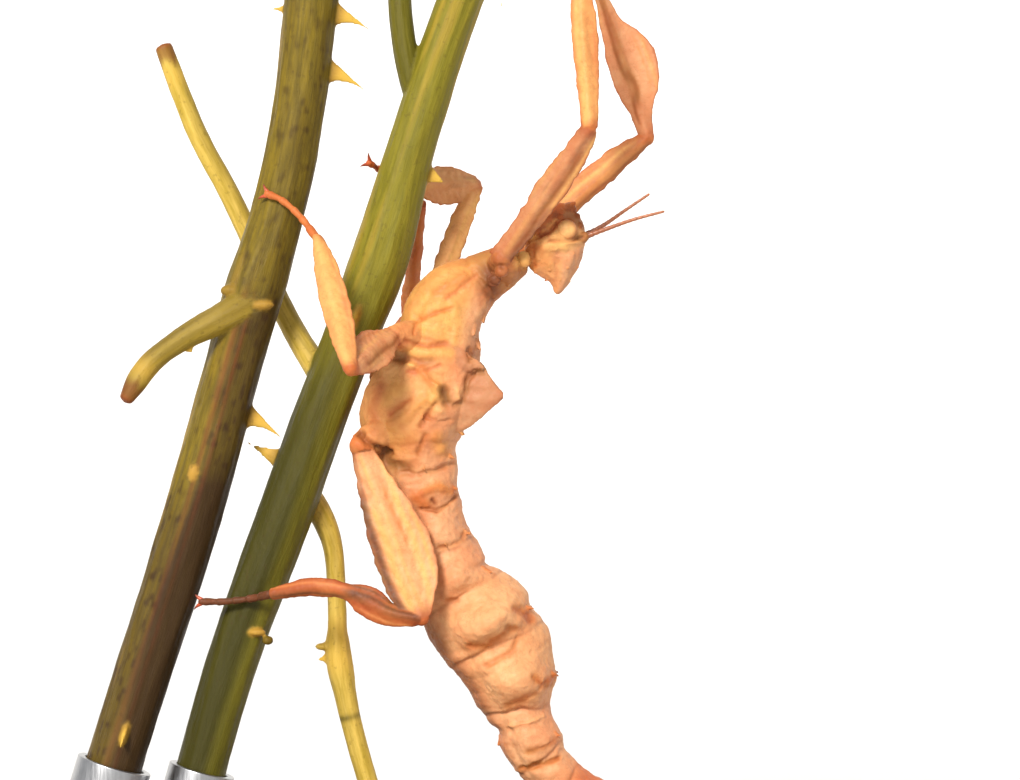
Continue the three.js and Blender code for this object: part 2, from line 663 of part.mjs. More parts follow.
function buildLeg(name, leg) {
  const coxa = new Sweep({
    path: new THREE.LineCurve3(leg.coxa, leg.hip),
    section: round(through([0, 2], [0.6, 1.8], [1, 1.2])),
    sides: 8,
    steps: 2,
    face: point(0.3, 0.2, 1).normalize(),
  });
  const tibiaPath = leg.tibiaBends
    ? spline(leg.knee, ...leg.tibiaBends, leg.ankle)
    : new THREE.LineCurve3(leg.knee, leg.ankle);
  const femur = limb(new THREE.LineCurve3(leg.hip, leg.knee), leg.femur, femurTooth, leg.femurFace);
  const tibia = limb(tibiaPath, leg.tibia, tibiaTooth);
  const foot = new Sweep({
    path: spline(leg.ankle, ...leg.foot),
    section: round(footRadius),
    sides: 5,
    steps: 5,
  });
  const spaceOf = (body) => body.solid({ grow: gap });
  const pieces = {
    coxa: [coxa.solid(), [trunkSpace], colours.thorax],
    femur: [femur.solid(), [trunkSpace, spaceOf(coxa)], colours.limb],
    tibia: [tibia.solid(), [spaceOf(femur), ...stemSpace], colours.limb],
    foot: [join(foot.solid(), clawPair(foot)), [spaceOf(tibia), ...stemSpace], colours.foot],
  };
  Object.entries(pieces).forEach(([piece, [solid, neighbours, colour]]) => {
    addPart(insect, `${name}_${piece}`, mainBody(cut(solid, neighbours)), colour);
  });
}

Object.entries(legs).forEach(([name, leg]) => buildLeg(name, leg));

const group = new THREE.Group();
group.add(stand, perch, insect);
export default group;
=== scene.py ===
"""The looks of a giant prickly stick insect that climbs two rose stems on a small display stand.

Shapes are worked out in millimetres, in the frame's own axes: +Z up, +X to the insect's back and
-Y its left side. MM turns them into Blender's metres at the end.
"""
import math

import bpy
import numpy as np
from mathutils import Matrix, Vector, kdtree


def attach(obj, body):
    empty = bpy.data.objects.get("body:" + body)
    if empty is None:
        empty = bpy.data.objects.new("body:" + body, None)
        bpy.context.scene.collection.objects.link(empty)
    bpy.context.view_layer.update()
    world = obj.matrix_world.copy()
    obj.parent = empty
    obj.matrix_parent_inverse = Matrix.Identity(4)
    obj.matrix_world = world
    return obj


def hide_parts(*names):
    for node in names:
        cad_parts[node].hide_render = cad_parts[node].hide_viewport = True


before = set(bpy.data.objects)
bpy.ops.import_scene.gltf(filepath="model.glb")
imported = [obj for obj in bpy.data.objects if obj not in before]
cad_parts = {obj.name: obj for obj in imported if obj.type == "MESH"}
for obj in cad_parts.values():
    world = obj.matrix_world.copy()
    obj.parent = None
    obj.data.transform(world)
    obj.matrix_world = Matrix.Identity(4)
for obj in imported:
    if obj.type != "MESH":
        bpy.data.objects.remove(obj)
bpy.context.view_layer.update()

MM = 0.001
FAR = np.array([0.0, 1.0, 0.0])

# ---------------------------------------------------------------- driving dimensions (mm)

SKIN_VOXEL = 0.125
BARK_VOXEL = 0.2
# Steps along and sides round each swept shell.
GRID = dict(
    trunk=(700, 220), wing_bud=(50, 90), sheath=(40, 32), head=(150, 130), jaw=(40, 24), coxa=(24, 40),
    leaf=(200, 100), foot=(110, 28), prickle=(40, 28), feeler=(260, 24), claw=(30, 18), eye=(60, 80),
)
CANE_STEPS = 4                    # for each millimetre
CANE_SIDES = {"stem": 72, "twig": 40}
VIEW_CENTRE = (17.25, 71.25)      # X and Z of the middle of the picture
VIEW_DISTANCE = 450.0
VIEW_WIDTH = 127.5                # what the picture spans at the insect
SENSOR = 36.0


# ---------------------------------------------------------------- curves and noise

def through(*pairs):
    """A smooth value between a few (place, value) pairs."""
    place, value = np.array(pairs, float).T
    left = np.maximum(np.arange(len(place)) - 1, 0)
    right = np.minimum(np.arange(len(place)) + 1, len(place) - 1)
    slope = (value[right] - value[left]) / (place[right] - place[left])

    def at(where):
        where = np.clip(where, place[0], place[-1])
        i = np.clip(np.searchsorted(place, where, side="left") - 1, 0, len(place) - 2)
        span = place[i + 1] - place[i]
        s = (where - place[i]) / span
        rise = value[i + 1] - value[i]
        early, late = slope[i] * span, slope[i + 1] * span
        return value[i] + s * early + s**2 * (3 * rise - 2 * early - late) + s**3 * (early + late - 2 * rise)

    return at


def smoothstep(low, high, value):
    s = np.clip((value - low) / (high - low), 0, 1)
    return s * s * (3 - 2 * s)


def window(value, start, full, fade, end):
    """1 from full to fade, falling smoothly to 0 at start and end."""
    return smoothstep(start, full, value) * smoothstep(end, fade, value)


def bell(value, middle, width):
    """A soft bump of height 1 that has sunk to 0.37 at the given width from its middle."""
    return np.exp(-((value - middle) / width)**2)


def vectors(*parts):
    """Arrays or plain numbers side by side, as one array of vectors or tints."""
    return np.stack(np.broadcast_arrays(*parts), -1)


def noise(points, size, seed=0):
    """Smooth noise from -1 to 1, with lumps of about the given size."""
    p = np.asarray(points, float) / size + 31.7 * seed
    cell = np.floor(p).astype(np.int64)
    f = p - cell
    f = f * f * (3 - 2 * f)
    total = np.zeros(p.shape[:-1])
    for dx in (0, 1):
        for dy in (0, 1):
            for dz in (0, 1):
                h = (cell[..., 0] + dx) * 374761393 + (cell[..., 1] + dy) * 668265263
                h = (h + (cell[..., 2] + dz) * 2147483647 + seed * 9176) & 0xFFFFFFFF
                h = ((h ^ (h >> 13)) * 1274126177) & 0xFFFFFFFF
                h = (h ^ (h >> 16)) / 0xFFFFFFFF * 2 - 1
                wx = f[..., 0] if dx else 1 - f[..., 0]
                wy = f[..., 1] if dy else 1 - f[..., 1]
                wz = f[..., 2] if dz else 1 - f[..., 2]
                total += h * wx * wy * wz
    return total


def noise_round(a, radius, along, size, seed):
    """Noise that closes up round a swept skin."""
    return noise(vectors(np.cos(a) * radius, np.sin(a) * radius, along), size, seed)


class Path:
    """A smooth line through points, measured along its length from 0 to 1."""

    def __init__(self, *points, count=600):
        p = np.array(points, float)
        if len(p) == 2:
            dense = p[0] + (p[1] - p[0]) * np.linspace(0, 1, count)[:, None]
        else:
            dense = self._spline(p, count)
        step = np.linalg.norm(np.diff(dense, axis=0), axis=1)
        self.reach = np.concatenate([[0], np.cumsum(step)])
        self.length = self.reach[-1]
        self.line = dense
        way = np.gradient(dense, self.reach, axis=0)
        self.way = way / np.linalg.norm(way, axis=1)[:, None]

    @staticmethod
    def _spline(p, count):
        """Centripetal Catmull-Rom, the same curve as the solids use."""
        ext = np.vstack([2 * p[0] - p[1], p, 2 * p[-1] - p[-2]])
        pieces = []
        share = np.linspace(0, 1, max(8, count // (len(p) - 1)), endpoint=False)[:, None]
        for i in range(len(p) - 1):
            a, b, c, d = ext[i:i + 4]
            t0, t1, t2 = (math.sqrt(np.linalg.norm(v)) for v in (b - a, c - b, d - c))
            m1 = ((b - a) / t0 - (c - a) / (t0 + t1) + (c - b) / t1) * t1
            m2 = ((c - b) / t1 - (d - b) / (t1 + t2) + (d - c) / t2) * t1
            s = share
            pieces.append(b + s * m1 + s**2 * (3 * (c - b) - 2 * m1 - m2) + s**3 * (2 * (b - c) + m1 + m2))
        return np.vstack(pieces + [p[-1:]])

    def _read(self, table, t):
        where = np.clip(t, 0, 1) * self.length
        return np.stack([np.interp(where, self.reach, table[:, k]) for k in range(3)], -1)

    def at(self, t):
        return self._read(self.line, t)

    def along(self, t):
        way = self._read(self.way, t)
        return way / np.linalg.norm(way, axis=-1, keepdims=True)


def bezier(a, bend, b, count=60):
    """A bow from a to b."""
    s = np.linspace(0, 1, count)[:, None]
    a, bend, b = (np.array(v, float) for v in (a, bend, b))
    return Path(*(a * (1 - s)**2 + bend * 2 * s * (1 - s) + b * s * s))


# ---------------------------------------------------------------- shells

class Clay:
    """Closed shells gathered for one piece.

    A tint is how dark, red, pale and pink (on a stem: young) each point is. The grain is its place
    across, through and along the limb or stem that it is on. The body share is 1 on head, trunk and
    coxae, where the folds go.
    """

    def __init__(self):
        self.points, self.quads, self.corners, self.paint = [], [], [], []
        self.count = 0
        self.body = 1.0

    def shell(self, grid, start, end, tint, grain):
        """Adds rings of points, closed at both ends round the points start and end."""
        rings, sides = grid.shape[:2]
        points = np.vstack([grid.reshape(-1, 3), [start], [end]])
        i = np.arange(rings - 1)[:, None] * sides
        j = np.arange(sides)[None, :]
        k = (j + 1) % sides
        quads = np.stack([i + j, i + sides + j, i + sides + k, i + k], -1).reshape(-1, 4)
        ring = np.arange(sides)
        last = (rings - 1) * sides
        first_cap = np.stack([np.full(sides, rings * sides), ring, (ring + 1) % sides], -1)
        last_cap = np.stack([np.full(sides, rings * sides + 1), last + (ring + 1) % sides, last + ring], -1)
        size = grid.shape[:2]
        paint = np.concatenate([
            np.broadcast_to(tint, size + (4,)), grain, np.full(size + (1,), self.body)], -1).reshape(-1, 8)
        self.points.append(points)
        self.quads.append(quads + self.count)
        self.corners.append(np.vstack([first_cap, last_cap]) + self.count)
        self.paint.append(np.vstack([paint, paint[:1], paint[-1:]]))
        self.count += len(points)

    def mesh(self, name, scale=1.0):
        mesh = bpy.data.meshes.new(name)
        faces = np.vstack(self.quads).tolist() + np.vstack(self.corners).tolist()
        mesh.from_pydata((np.vstack(self.points) * scale).tolist(), [], faces)
        return mesh


def axes_of(path, t, face):
    """The ways along a path, through it towards the face, and across it."""
    along = path.along(t)
    through_way = face - np.sum(along * face, -1, keepdims=True) * along
    through_way /= np.linalg.norm(through_way, axis=-1, keepdims=True)
    return along, through_way, np.cross(along, through_way)


def sweep(clay, path, section, steps, sides, face=FAR, tint=(0, 0, 0, 0)):
    """Sweeps a section along a path as one closed shell. An angle of 0 is across the face."""
    t = np.linspace(0, 1, steps + 1)
    angle = np.arange(sides) * 2 * np.pi / sides
    tt, aa = np.meshgrid(t, angle, indexing="ij")
    _, deep_way, wide_way = axes_of(path, t, np.array(face, float))
    wide, deep = section(tt, aa)
    centre = path.at(t)
    grid = centre[:, None] + wide_way[:, None] * wide[..., None] + deep_way[:, None] * deep[..., None]
    shade = tint(tt, aa) if callable(tint) else np.array(tint, float)
    grain = vectors(wide, deep, tt * path.length)
    clay.shell(grid, centre[0], centre[-1], shade, grain)


def round_section(radius):
    return lambda t, a: (radius(t) * np.cos(a), radius(t) * np.sin(a))


def dome(t, start=0.08, end=0.08):
    """Rounds both ends of a limb off."""
    a = np.sqrt(np.clip(1 - (1 - np.clip(t / start, 0, 1))**2, 0, 1))
    b = np.sqrt(np.clip(1 - (1 - np.clip((1 - t) / end, 0, 1))**2, 0, 1))
    return a * b


def spike(clay, foot, way, height, radius, bend=(0, 0, 0), tint=(0, 0, 0, 0), sides=10):
    """A spine with a flared foot and a slightly bent, blunt tip."""
    foot, way = np.array(foot, float), np.array(way, float)
    way = way / np.linalg.norm(way)
    tip = foot + way * height + np.array(bend, float)
    path = bezier(foot - way * radius * 0.8, foot + way * height * 0.55, tip)
    size = through((0, radius * 1.7), (0.25, radius), (0.6, radius * 0.5), (1, 0.1))
    helper = (0, 1, 0) if abs(way[1]) < 0.8 else (1, 0, 0)
    sweep(clay, path, round_section(size), 10, sides, face=helper, tint=tint)


def ball(clay, centre, radii, tint=(0, 0, 0, 0), grid=(16, 20), way=(0, 0, 1)):
    """An egg whose third radius lies along `way`."""
    centre, way = np.array(centre, float), np.array(way, float) / np.linalg.norm(way)
    path = Path(centre - way * radii[2] * 0.999, centre + way * radii[2] * 0.999)
    helper = (0, 1, 0) if abs(way[1]) < 0.8 else (1, 0, 0)

    def section(t, a):
        r = np.sqrt(np.clip(1 - (2 * t - 1)**2, 0.0004, 1))
        return radii[0] * r * np.cos(a), radii[1] * r * np.sin(a)

    sweep(clay, path, section, *grid, face=helper, tint=tint)


# ---------------------------------------------------------------- trunk

TRUNK = Path(
    (19, 0, 87.8), (14.8, 0, 85.1), (9.2, 0, 80.2), (6.8, 0, 73.2), (5, 0, 65), (6.9, 0, 56.5),
    (10.2, 0, 48.4), (14.8, 0, 40.9), (18.2, 0, 33.6), (20, 0, 26.6), (25.2, 0, 21), (33.5, 0, 18.4),
)
# Reach of the skin from the middle line, by distance behind the neck.
BACK = through(
    (0, 1.8), (3, 2.3), (6, 2.6), (8.1, 3.4), (10.7, 4.35), (12.2, 5), (14.1, 5.6), (16, 6), (21, 6.6),
    (25.4, 6.4), (27.3, 6.1), (29.3, 5.6), (30.7, 5.3), (33.3, 5.1), (35.3, 4.4), (37.4, 4.3), (39.5, 4),
    (41.9, 4), (43.2, 4.3), (45.7, 4.4), (46.7, 4), (49.1, 5.4), (50.9, 6.2), (52.2, 6.5), (53.2, 6.4),
    (54, 6), (56.2, 6.4), (57.2, 6.6), (58.3, 6.4), (59.9, 5.9), (61.7, 5.4), (62.6, 5.3), (63.8, 4.1),
    (65.4, 3.5), (67.9, 3.9), (70, 4), (71.3, 3.8), (72.5, 3.3), (76, 3.2), (78, 3.1), (83, 2.4), (87, 1.3),
)
BELLY = through(
    (0, 2.2), (3, 3.1), (6, 4.1), (9, 5.2), (12.5, 5.4), (16, 4.8), (21, 6.2), (26, 6.8), (30.5, 4.9),
    (37, 4.2), (43.5, 5), (47, 6), (50.4, 6.8), (52.9, 6.9), (54.6, 6.7), (57.4, 6.1), (60.1, 5.6),
    (62.8, 5.4), (64.7, 4.7), (66, 4.2), (67.1, 3.2), (68.6, 3.5), (70.2, 3.2), (73, 3.1), (78, 2.8),
    (83, 2.3), (87, 1.3),
)
FLANK = through(
    (0, 2), (6, 2.8), (9, 3.5), (12.5, 4.5), (16, 5.2), (21, 5.6), (26, 5.5), (30.5, 4.9), (37, 4.6),
    (43.5, 5), (48, 5.6), (52, 6.1), (58, 5.8), (62.5, 5.1), (65, 4.3), (70, 4.1), (73, 3.6), (78, 3.1),
    (83, 2.4), (87, 1.3),
)
# Segments: rear edge, height of the step there, reach of the flank lobe, height of the shoulder lobe.
SEGMENTS = [
    (6, 0.3, 0, 0), (15.6, 0.1, 0, 0), (28.4, 0.12, 0, 0.2), (32.3, 0.14, 0, 0), (36.7, 0.15, 0.3, 0.12),
    (42.7, 0.15, 0.8, 0.2), (48.6, 0.2, 1.7, 0.45), (56, 0.24, 2.6, 0.95), (64.6, 0.26, 2.1, 0.85),
    (71.3, 0.22, 0.6, 0.35), (75.8, 0.14, 0, 0.15), (81, 0.1, 0, 0),
]
ABDOMEN = 28.4
LOBE_ANGLE = 60


def from_back(a):
    """Degrees from the middle of the back, the same on both sides."""
    return np.abs(np.degrees(np.arctan2(np.sin(a), np.cos(a))))


def segment_edges(s, a):
    """Height of the plates' overlapping edges (mm), and how deep in a crease a point lies (0 to 1)."""
    drift = noise_round(a, 3, s * 0.15, 1.6, 3) * 0.45
    relief, crease = np.zeros_like(s), np.zeros_like(s)
    for rear, step, _, _ in SEGMENTS:
        off = s - rear - drift
        strength = np.clip(0.7 + 0.6 * noise_round(a, 3, rear * 0.15, 1.5, 4), 0.1, 1.2)
        fade = np.where(off < 0, bell(off, 0, 1.7), bell(off, 0, 0.55))
        relief -= step * strength * np.tanh(off / 0.14) * fade
        crease += strength * bell(off, 0.12, 0.2)
    return relief, np.clip(crease, 0, 1)


def trunk_section(t, a):
    s = t * TRUNK.length
    degrees = from_back(a)
    flank_lobe, shoulder = np.zeros_like(s), np.zeros_like(s)
    front = 0.0
    for rear, _, reach, height in SEGMENTS:
        share = np.clip((s - front) / (rear - front), 0, 1)
        inside = (s > front) & (s <= rear)
        flank_lobe += reach * np.sin(np.pi * share**1.4)**1.5 * inside
        shoulder += height * np.sin(np.pi * share**2)**1.2 * inside
        front = rear
    reach = np.where(np.cos(a) > 0, BACK(s), BELLY(s))
    side = FLANK(s) + flank_lobe * np.abs(np.sin(a))**8
    relief, _ = segment_edges(s, a)
    relief = relief * (0.25 + 0.75 * np.abs(np.sin(a)))
    shoulder = shoulder * bell(degrees, LOBE_ANGLE, 21)
    # A soft furrow between the lobes of the back and those of the flank, and one above the belly.
    furrow = 0.3 * bell(degrees, 92, 9) * window(s, 40, 50, 62, 68)
    furrow += 0.22 * bell(degrees, 128, 9) * window(s, 8, 14, 70, 80)
    # Shallow wrinkles across the body, and soft lumps.
    wrinkle = 1 - 2 * np.abs(noise_round(a, 3, s * 1.5, 1.5, 9))
    wrinkle = 0.07 * wrinkle * smoothstep(ABDOMEN - 4, ABDOMEN + 4, s)
    lump = 0.22 * noise_round(a, 3, s * 0.8, 1.9, 8) + 0.1 * noise_round(a, 3, s * 1.1, 0.9, 7)
    ease = 0.4 + 0.6 * np.abs(np.sin(a))
    extra = relief + shoulder - furrow + (wrinkle + lump) * smoothstep(2, 8, s) * ease
    # The thorax is boxy: its flanks turn into the back at a soft corner.
    extra = extra + 0.5 * window(s, 5, 9, 24, 30) * bell(degrees, 48, 16)
    end = dome(t, 0.012, 0.02)
    return (reach + extra) * np.cos(a) * end, (side + extra) * np.sin(a) * end


def trunk_tint(t, a):
    s = t * TRUNK.length
    degrees = from_back(a)
    _, crease = segment_edges(s, a)
    # Painted shade: darker in the creases between the plates, on the belly side, where it is also warmer, and
    # in the neck's hollow.
    belly_shade = smoothstep(126, 150, degrees) * (0.3 + 0.7 * window(s, 44, 48, 64, 68))
    neck_shade = smoothstep(7, 4.6, s) * 0.3
    dark = np.clip(crease * 0.28 + belly_shade * 0.48 + neck_shade, 0, 1)
    red = smoothstep(72, 78, s) * 0.85 + crease * 0.2
    # Painted light: the flanks of the hind thorax are painted paler and rosier; the paler flanks of the front
    # thorax are partly painted light.
    hind_flank_light = window(s, 15, 19, 25, 29) * smoothstep(60, 90, degrees)
    pale = 0.5 * window(s, 6, 9, 13, 17) * smoothstep(20, 70, degrees)
    pale = pale + 0.15 * window(s, 44, 50, 60, 66) + 0.3 * hind_flank_light
    # The rose along the back is the skin's own colour on the abdomen; on the thorax the rose and the darker
    # back below are painted shade.
    pink = 0.6 * hind_flank_light + smoothstep(28, 34, s) + 0.9 * smoothstep(85, 50, degrees) * smoothstep(5, 9, s)
    thorax_back_shade = smoothstep(58, 42, degrees) * window(s, 5, 9, 24, 30)
    dark, red = np.clip(dark + 0.2 * thorax_back_shade, 0, 1), red + 0.35 * belly_shade
    return np.clip(vectors(dark, red, pale, pink), 0, 1)


def mirrored(point, hand):
    """The point itself on the right side, where hand is 1, or its like on the left, where it is -1."""
    return np.array(point, float) * (1, hand, 1)


def skin_point(path, section, t, degrees):
    """A point on a swept skin, the way out there and the way along."""
    t, a = np.array([t]), np.array([math.radians(degrees)])
    along, deep_way, wide_way = axes_of(path, t, FAR)
    wide, deep = section(t, a)
    out = (wide_way * wide[:, None] + deep_way * deep[:, None])[0]
    return path.at(t)[0] + out, out / np.linalg.norm(out), along[0]


# Spines in pairs: distance behind the neck, degrees from the middle of the back, height, radius.
SPINES = [
    (3.4, 40, 0.7, 0.3), (8.5, 30, 1, 0.35), (11, 42, 1, 0.38), (13.6, 24, 1.1, 0.4), (17.5, 36, 1.1, 0.4),
    (22, 20, 0.8, 0.35), (26, 28, 1, 0.4), (31, 30, 0.8, 0.35), (35.5, 30, 0.8, 0.35), (41.5, 32, 0.9, 0.38),
    (47.5, 34, 0.9, 0.4), (54, 26, 0.9, 0.45), (62, 26, 0.9, 0.45), (69.5, 34, 0.7, 0.32),
    (25, 80, 0.6, 0.28), (14, 118, 0.4, 0.26), (32, 78, 0.5, 0.26), (42, 80, 0.5, 0.26),
    (68.2, 176, 0.5, 0.45),
]
SPINE_LEAN = 0.4
# The two spines and the keeled sheath at the tail's end.
CERCUS = dict(root=(32, 0.9, 19), way=(1, 0.25, 0.12), height=3.4, radius=0.42)
SHEATH = Path((29, 0, 17.6), (33, 0, 16.6), (36.6, 0, 16.9))
SHEATH_KEEL = through((0, 1.25), (0.6, 0.9), (1, 0.4))
SHEATH_WIDTH = through((0, 1), (0.6, 0.75), (1, 0.4))
TAIL_TINT = (0.1, 0.9, 0, 0)

# Wing buds: the middle line on the right side, and the reach of the flap above and below it.
WING_BUDS = [
    (
        [(9, 4.3, 75.6), (11.8, 4.7, 74.9), (13.9, 4, 73.9)],
        through((0, 2.5), (0.5, 1.2), (0.85, 0.6), (1, 0.3)),
        through((0, 4.5), (0.18, 5.8), (0.3, 5), (0.42, 2.6), (0.6, 1.3), (0.85, 0.8), (1, 0.3)),
    ),
    (
        [(8.6, 3.2, 70.6), (12.6, 4, 70.4), (16.4, 4.2, 70.5)],
        through((0, 4), (0.4, 4.6), (0.62, 4.4), (0.78, 2.7), (0.9, 1.3), (1, 0.35)),
        through((0, 5.2), (0.44, 4), (0.85, 1.3), (1, 0.35)),
    ),
]


def wing_bud(clay, line, upper, lower, hand):
    """A small veined flap that points back over the hind half of the thorax."""
    path = bezier(*(mirrored(point, hand) for point in line))

    def section(t, a):
        wide = np.cos(a) * np.where(np.cos(a) > 0, upper(t), lower(t))
        vein = 0.07 * np.cos(wide * 3.2 + t * 2) * np.abs(np.sin(a)) * smoothstep(1, 0.6, t)
        deep = np.sin(a) * (0.6 - 0.25 * t) * np.abs(np.sin(a))**0.3 + np.sign(np.sin(a)) * vein
        return wide, deep - hand * 0.03 * wide**2

    # The flap is darkened all over as painted shade, a little more at its root; its tip is redder.
    sweep(clay, path, section, *GRID["wing_bud"], tint=lambda t, a: vectors(
        0.36 + 0.1 * smoothstep(0.25, 0, t), 0.1 + 0.15 * smoothstep(0.75, 1, t), 0, 1))


def build_trunk(clay):
    sweep(clay, TRUNK, trunk_section, *GRID["trunk"], tint=trunk_tint)
    for hand in (-1, 1):
        for place, degrees, height, radius in SPINES:
            foot, out, along = skin_point(TRUNK, trunk_section, place / TRUNK.length, hand * degrees)
            spike(clay, foot - out * 0.1, out + along * SPINE_LEAN, height, radius, bend=along * 0.25,
                  tint=(0.1, 0.45 if place > ABDOMEN else 0.2, 0.2, 0.2))
        for line, upper, lower in WING_BUDS:
            wing_bud(clay, line, upper, lower, hand)
        spike(clay, mirrored(CERCUS["root"], hand), mirrored(CERCUS["way"], hand), CERCUS["height"],
              CERCUS["radius"], tint=TAIL_TINT)
    sheath_section = lambda t, a: (SHEATH_KEEL(t) * np.cos(a), SHEATH_WIDTH(t) * np.sin(a))
    sweep(clay, SHEATH, sheath_section, *GRID["sheath"], tint=TAIL_TINT)


# ---------------------------------------------------------------- head

EYE = dict(place=(24.3, 2.45, 91.2), radii=(1.25, 0.8, 1.25))
HEAD = Path(
    (23.1, 0, 83.2), (23.5, 0, 85), (23.3, 0, 87.3), (23, 0, 89.4), (23.2, 0, 91.4), (24.4, 0, 94.4),
)
HEAD_NAPE = through(
    (0, 0.25), (0.12, 1.3), (0.22, 2.6), (0.32, 3.6), (0.42, 3.9), (0.55, 3.9), (0.75, 3), (0.9, 2), (1, 0.7))
HEAD_FACE = through(
    (0, 0.25), (0.15, 1.2), (0.35, 2.9), (0.5, 3.6), (0.62, 3.6), (0.75, 3.6), (0.9, 2.6), (1, 0.7))
HEAD_SIDE = through((0, 0.3), (0.15, 1.2), (0.35, 2.2), (0.55, 2.9), (0.75, 2.6), (0.9, 1.7), (1, 0.7))


def head_section(t, a):
    """An angle of 0 is the nape, 180 the face."""
    degrees = from_back(a)
    reach = np.where(np.cos(a) > 0, HEAD_NAPE(t), HEAD_FACE(t))
    cheek = 0.35 * bell(t, 0.6, 0.09) * bell(degrees, 70, 24)
    brow = 0.25 * bell(t, 0.56, 0.04) * bell(degrees, 118, 26)
    ridge = 0.22 * bell(degrees, 118, 9) * window(t, 0.05, 0.2, 0.35, 0.5)
    seam = 0.2 * bell(degrees, 0, 6) * smoothstep(0.2, 0.35, t)
    brow_seam = 0.16 * bell(degrees, 92, 6) * window(t, 0.1, 0.25, 0.42, 0.5)
    lump = 0.14 * noise_round(a, 3, t * 14, 1.1, 21)
    extra = (cheek + brow + ridge - seam - brow_seam + lump) * smoothstep(0, 0.15, t)
    end = dome(t, 0.03, 0.06)
    return (reach + extra) * np.cos(a) * end, (HEAD_SIDE(t) + extra) * np.sin(a) * end


def head_tint(t, a):
    degrees = from_back(a)
    nape_side = smoothstep(95, 60, degrees)
    mouth = smoothstep(0.76, 0.84, t)
    muzzle = smoothstep(0.66, 0.76, t) * nape_side
    face = smoothstep(88, 118, degrees)
    # Painted shade: on the lower half of the head the face side is darker and rosier.
    dark = np.clip(0.5 * mouth + 0.12 * muzzle + 0.22 * smoothstep(0.5, 0.42, t) * face, 0, 1)
    red = np.clip(0.25 * mouth + 0.6 * muzzle + 0.25 * smoothstep(0.52, 0.58, t) * nape_side, 0, 1)
    cheek = window(t, 0.3, 0.45, 0.66, 0.8) * smoothstep(135, 105, degrees)
    pale = cheek * 0.5 * (1 - muzzle)
    pink = smoothstep(0.5, 0.35, t) * face + 0.6
    return vectors(dark, red, pale, pink)


def head_side_point(x, z, lift=0.0):
    """The point of the head's right side at the given X and Z."""
    t = np.linspace(0, 1, 200)
    line = HEAD.at(t)
    nearest = t[[np.argmin(np.hypot(line[:, 0] - x, line[:, 2] - z))]]
    offset = np.hypot(*(HEAD.at(nearest)[0] - (x, 0, z))[[0, 2]])
    reach = (HEAD_NAPE if x < HEAD.at(nearest)[0][0] else HEAD_FACE)(nearest)[0]
    side = HEAD_SIDE(nearest)[0] * math.sqrt(max(0.05, 1 - (offset / reach)**2))
    return np.array([x, side + lift, z])


# Bumps on both sides of the head: X, Z, radius, and tint.
CHESTNUT, RUST, CREAM, AMBER = (0.6, 0.8, 0, 0), (0.25, 0.85, 0, 0), (0, 0, 1, 0), (0.1, 0.35, 0.5, 0.4)
HEAD_BUMPS = [
    (20.7, 90.7, 0.5, RUST), (21.2, 91.5, 0.55, CHESTNUT), (21.9, 92.3, 0.55, RUST),
    (22.7, 92.9, 0.5, CHESTNUT), (23.5, 93.4, 0.5, RUST), (24.3, 93.9, 0.5, CHESTNUT),
    (25.1, 93.7, 0.45, CHESTNUT), (25.6, 92.9, 0.4, CHESTNUT), (21.5, 90.9, 0.36, AMBER),
    (22.1, 91.6, 0.4, AMBER), (22.8, 92.2, 0.36, AMBER), (23.5, 92.7, 0.34, RUST),
    (21.2, 90.1, 0.38, RUST), (22.1, 90.5, 0.34, RUST), (26, 91.8, 0.35, CHESTNUT),
]
# Knobs and plates on the right side: middle, radii, tint, and the way of the third radius.
UPRIGHT = (0, 0, 1)
HEAD_KNOBS = [
    # The socket of the feeler, and the pale plates of the neck and the cheek.
    ((26.2, 1.1, 90.2), (0.7, 0.7, 0.9), (0.5, 0.5, 0, 0), (1, 0, 0.4)),
    ((19, 2, 87.5), (0.8, 0.6, 1), (0, 0, 0.8, 0.8), UPRIGHT),
    (head_side_point(19.9, 90.3, -0.25), (0.6, 0.4, 0.5), CREAM, UPRIGHT),
    # The reddish knob at the root of the neck, and behind it a knob tinted dark as painted shade in the
    # hollow there.
    ((16.2, 4.1, 86), (0.85, 0.8, 0.8), (0.15, 0.7, 0, 0.5), UPRIGHT),
    ((15.2, 3.2, 84.9), (0.9, 0.8, 0.9), (1, 0.4, 0, 0), UPRIGHT),
]
LIP = dict(middle=(24.6, 0, 94), radii=(0.9, 1, 0.75))
# The mandible along the front of the mouth.
JAW = [(20.9, 0.9, 89.8), (21, 1.7, 91.4), (22.4, 1.5, 93.2), (24.2, 0.6, 94.3)]
JAW_RADIUS = through((0, 0.7), (0.35, 1.15), (0.75, 0.95), (1, 0.4))
# Palps under the mouth: root (X, across, Z), direction, and radius of the first of three beads.
PALPS = [
    ((20.7, 1.2, 90.8), (-0.45, 0.3, 0.85), 0.42),
    ((22.4, 1.1, 93), (-0.2, 0.3, 0.95), 0.38),
    ((24, 0.8, 94), (0.6, 0.3, 0.3), 0.32),
]
# Rings of small spines on the crown: place, count on each side, and height.
CROWN = ((0.16, 3, 0.4), (0.28, 4, 0.3), (0.42, 5, 0.22))
CROWN_RADIUS = 0.22
CROWN_TINT = (0.1, 0.3, 0, 0.4)


def build_palp(clay, root, way, size, hand):
    """Three beads in a row that shrink and turn up."""
    spot, way = mirrored(root, hand), mirrored(way, hand)
    for i in range(3):
        way = way / np.linalg.norm(way)
        bead = size * (1 - 0.12 * i)
        colour = CHESTNUT if i % 2 else RUST
        ball(clay, spot, (bead, bead, bead * 1.6), tint=colour, way=way, grid=(12, 14))
        spot = spot + way * bead * 2.1
        way = way + np.array([0.28, -hand * 0.12, -0.05])


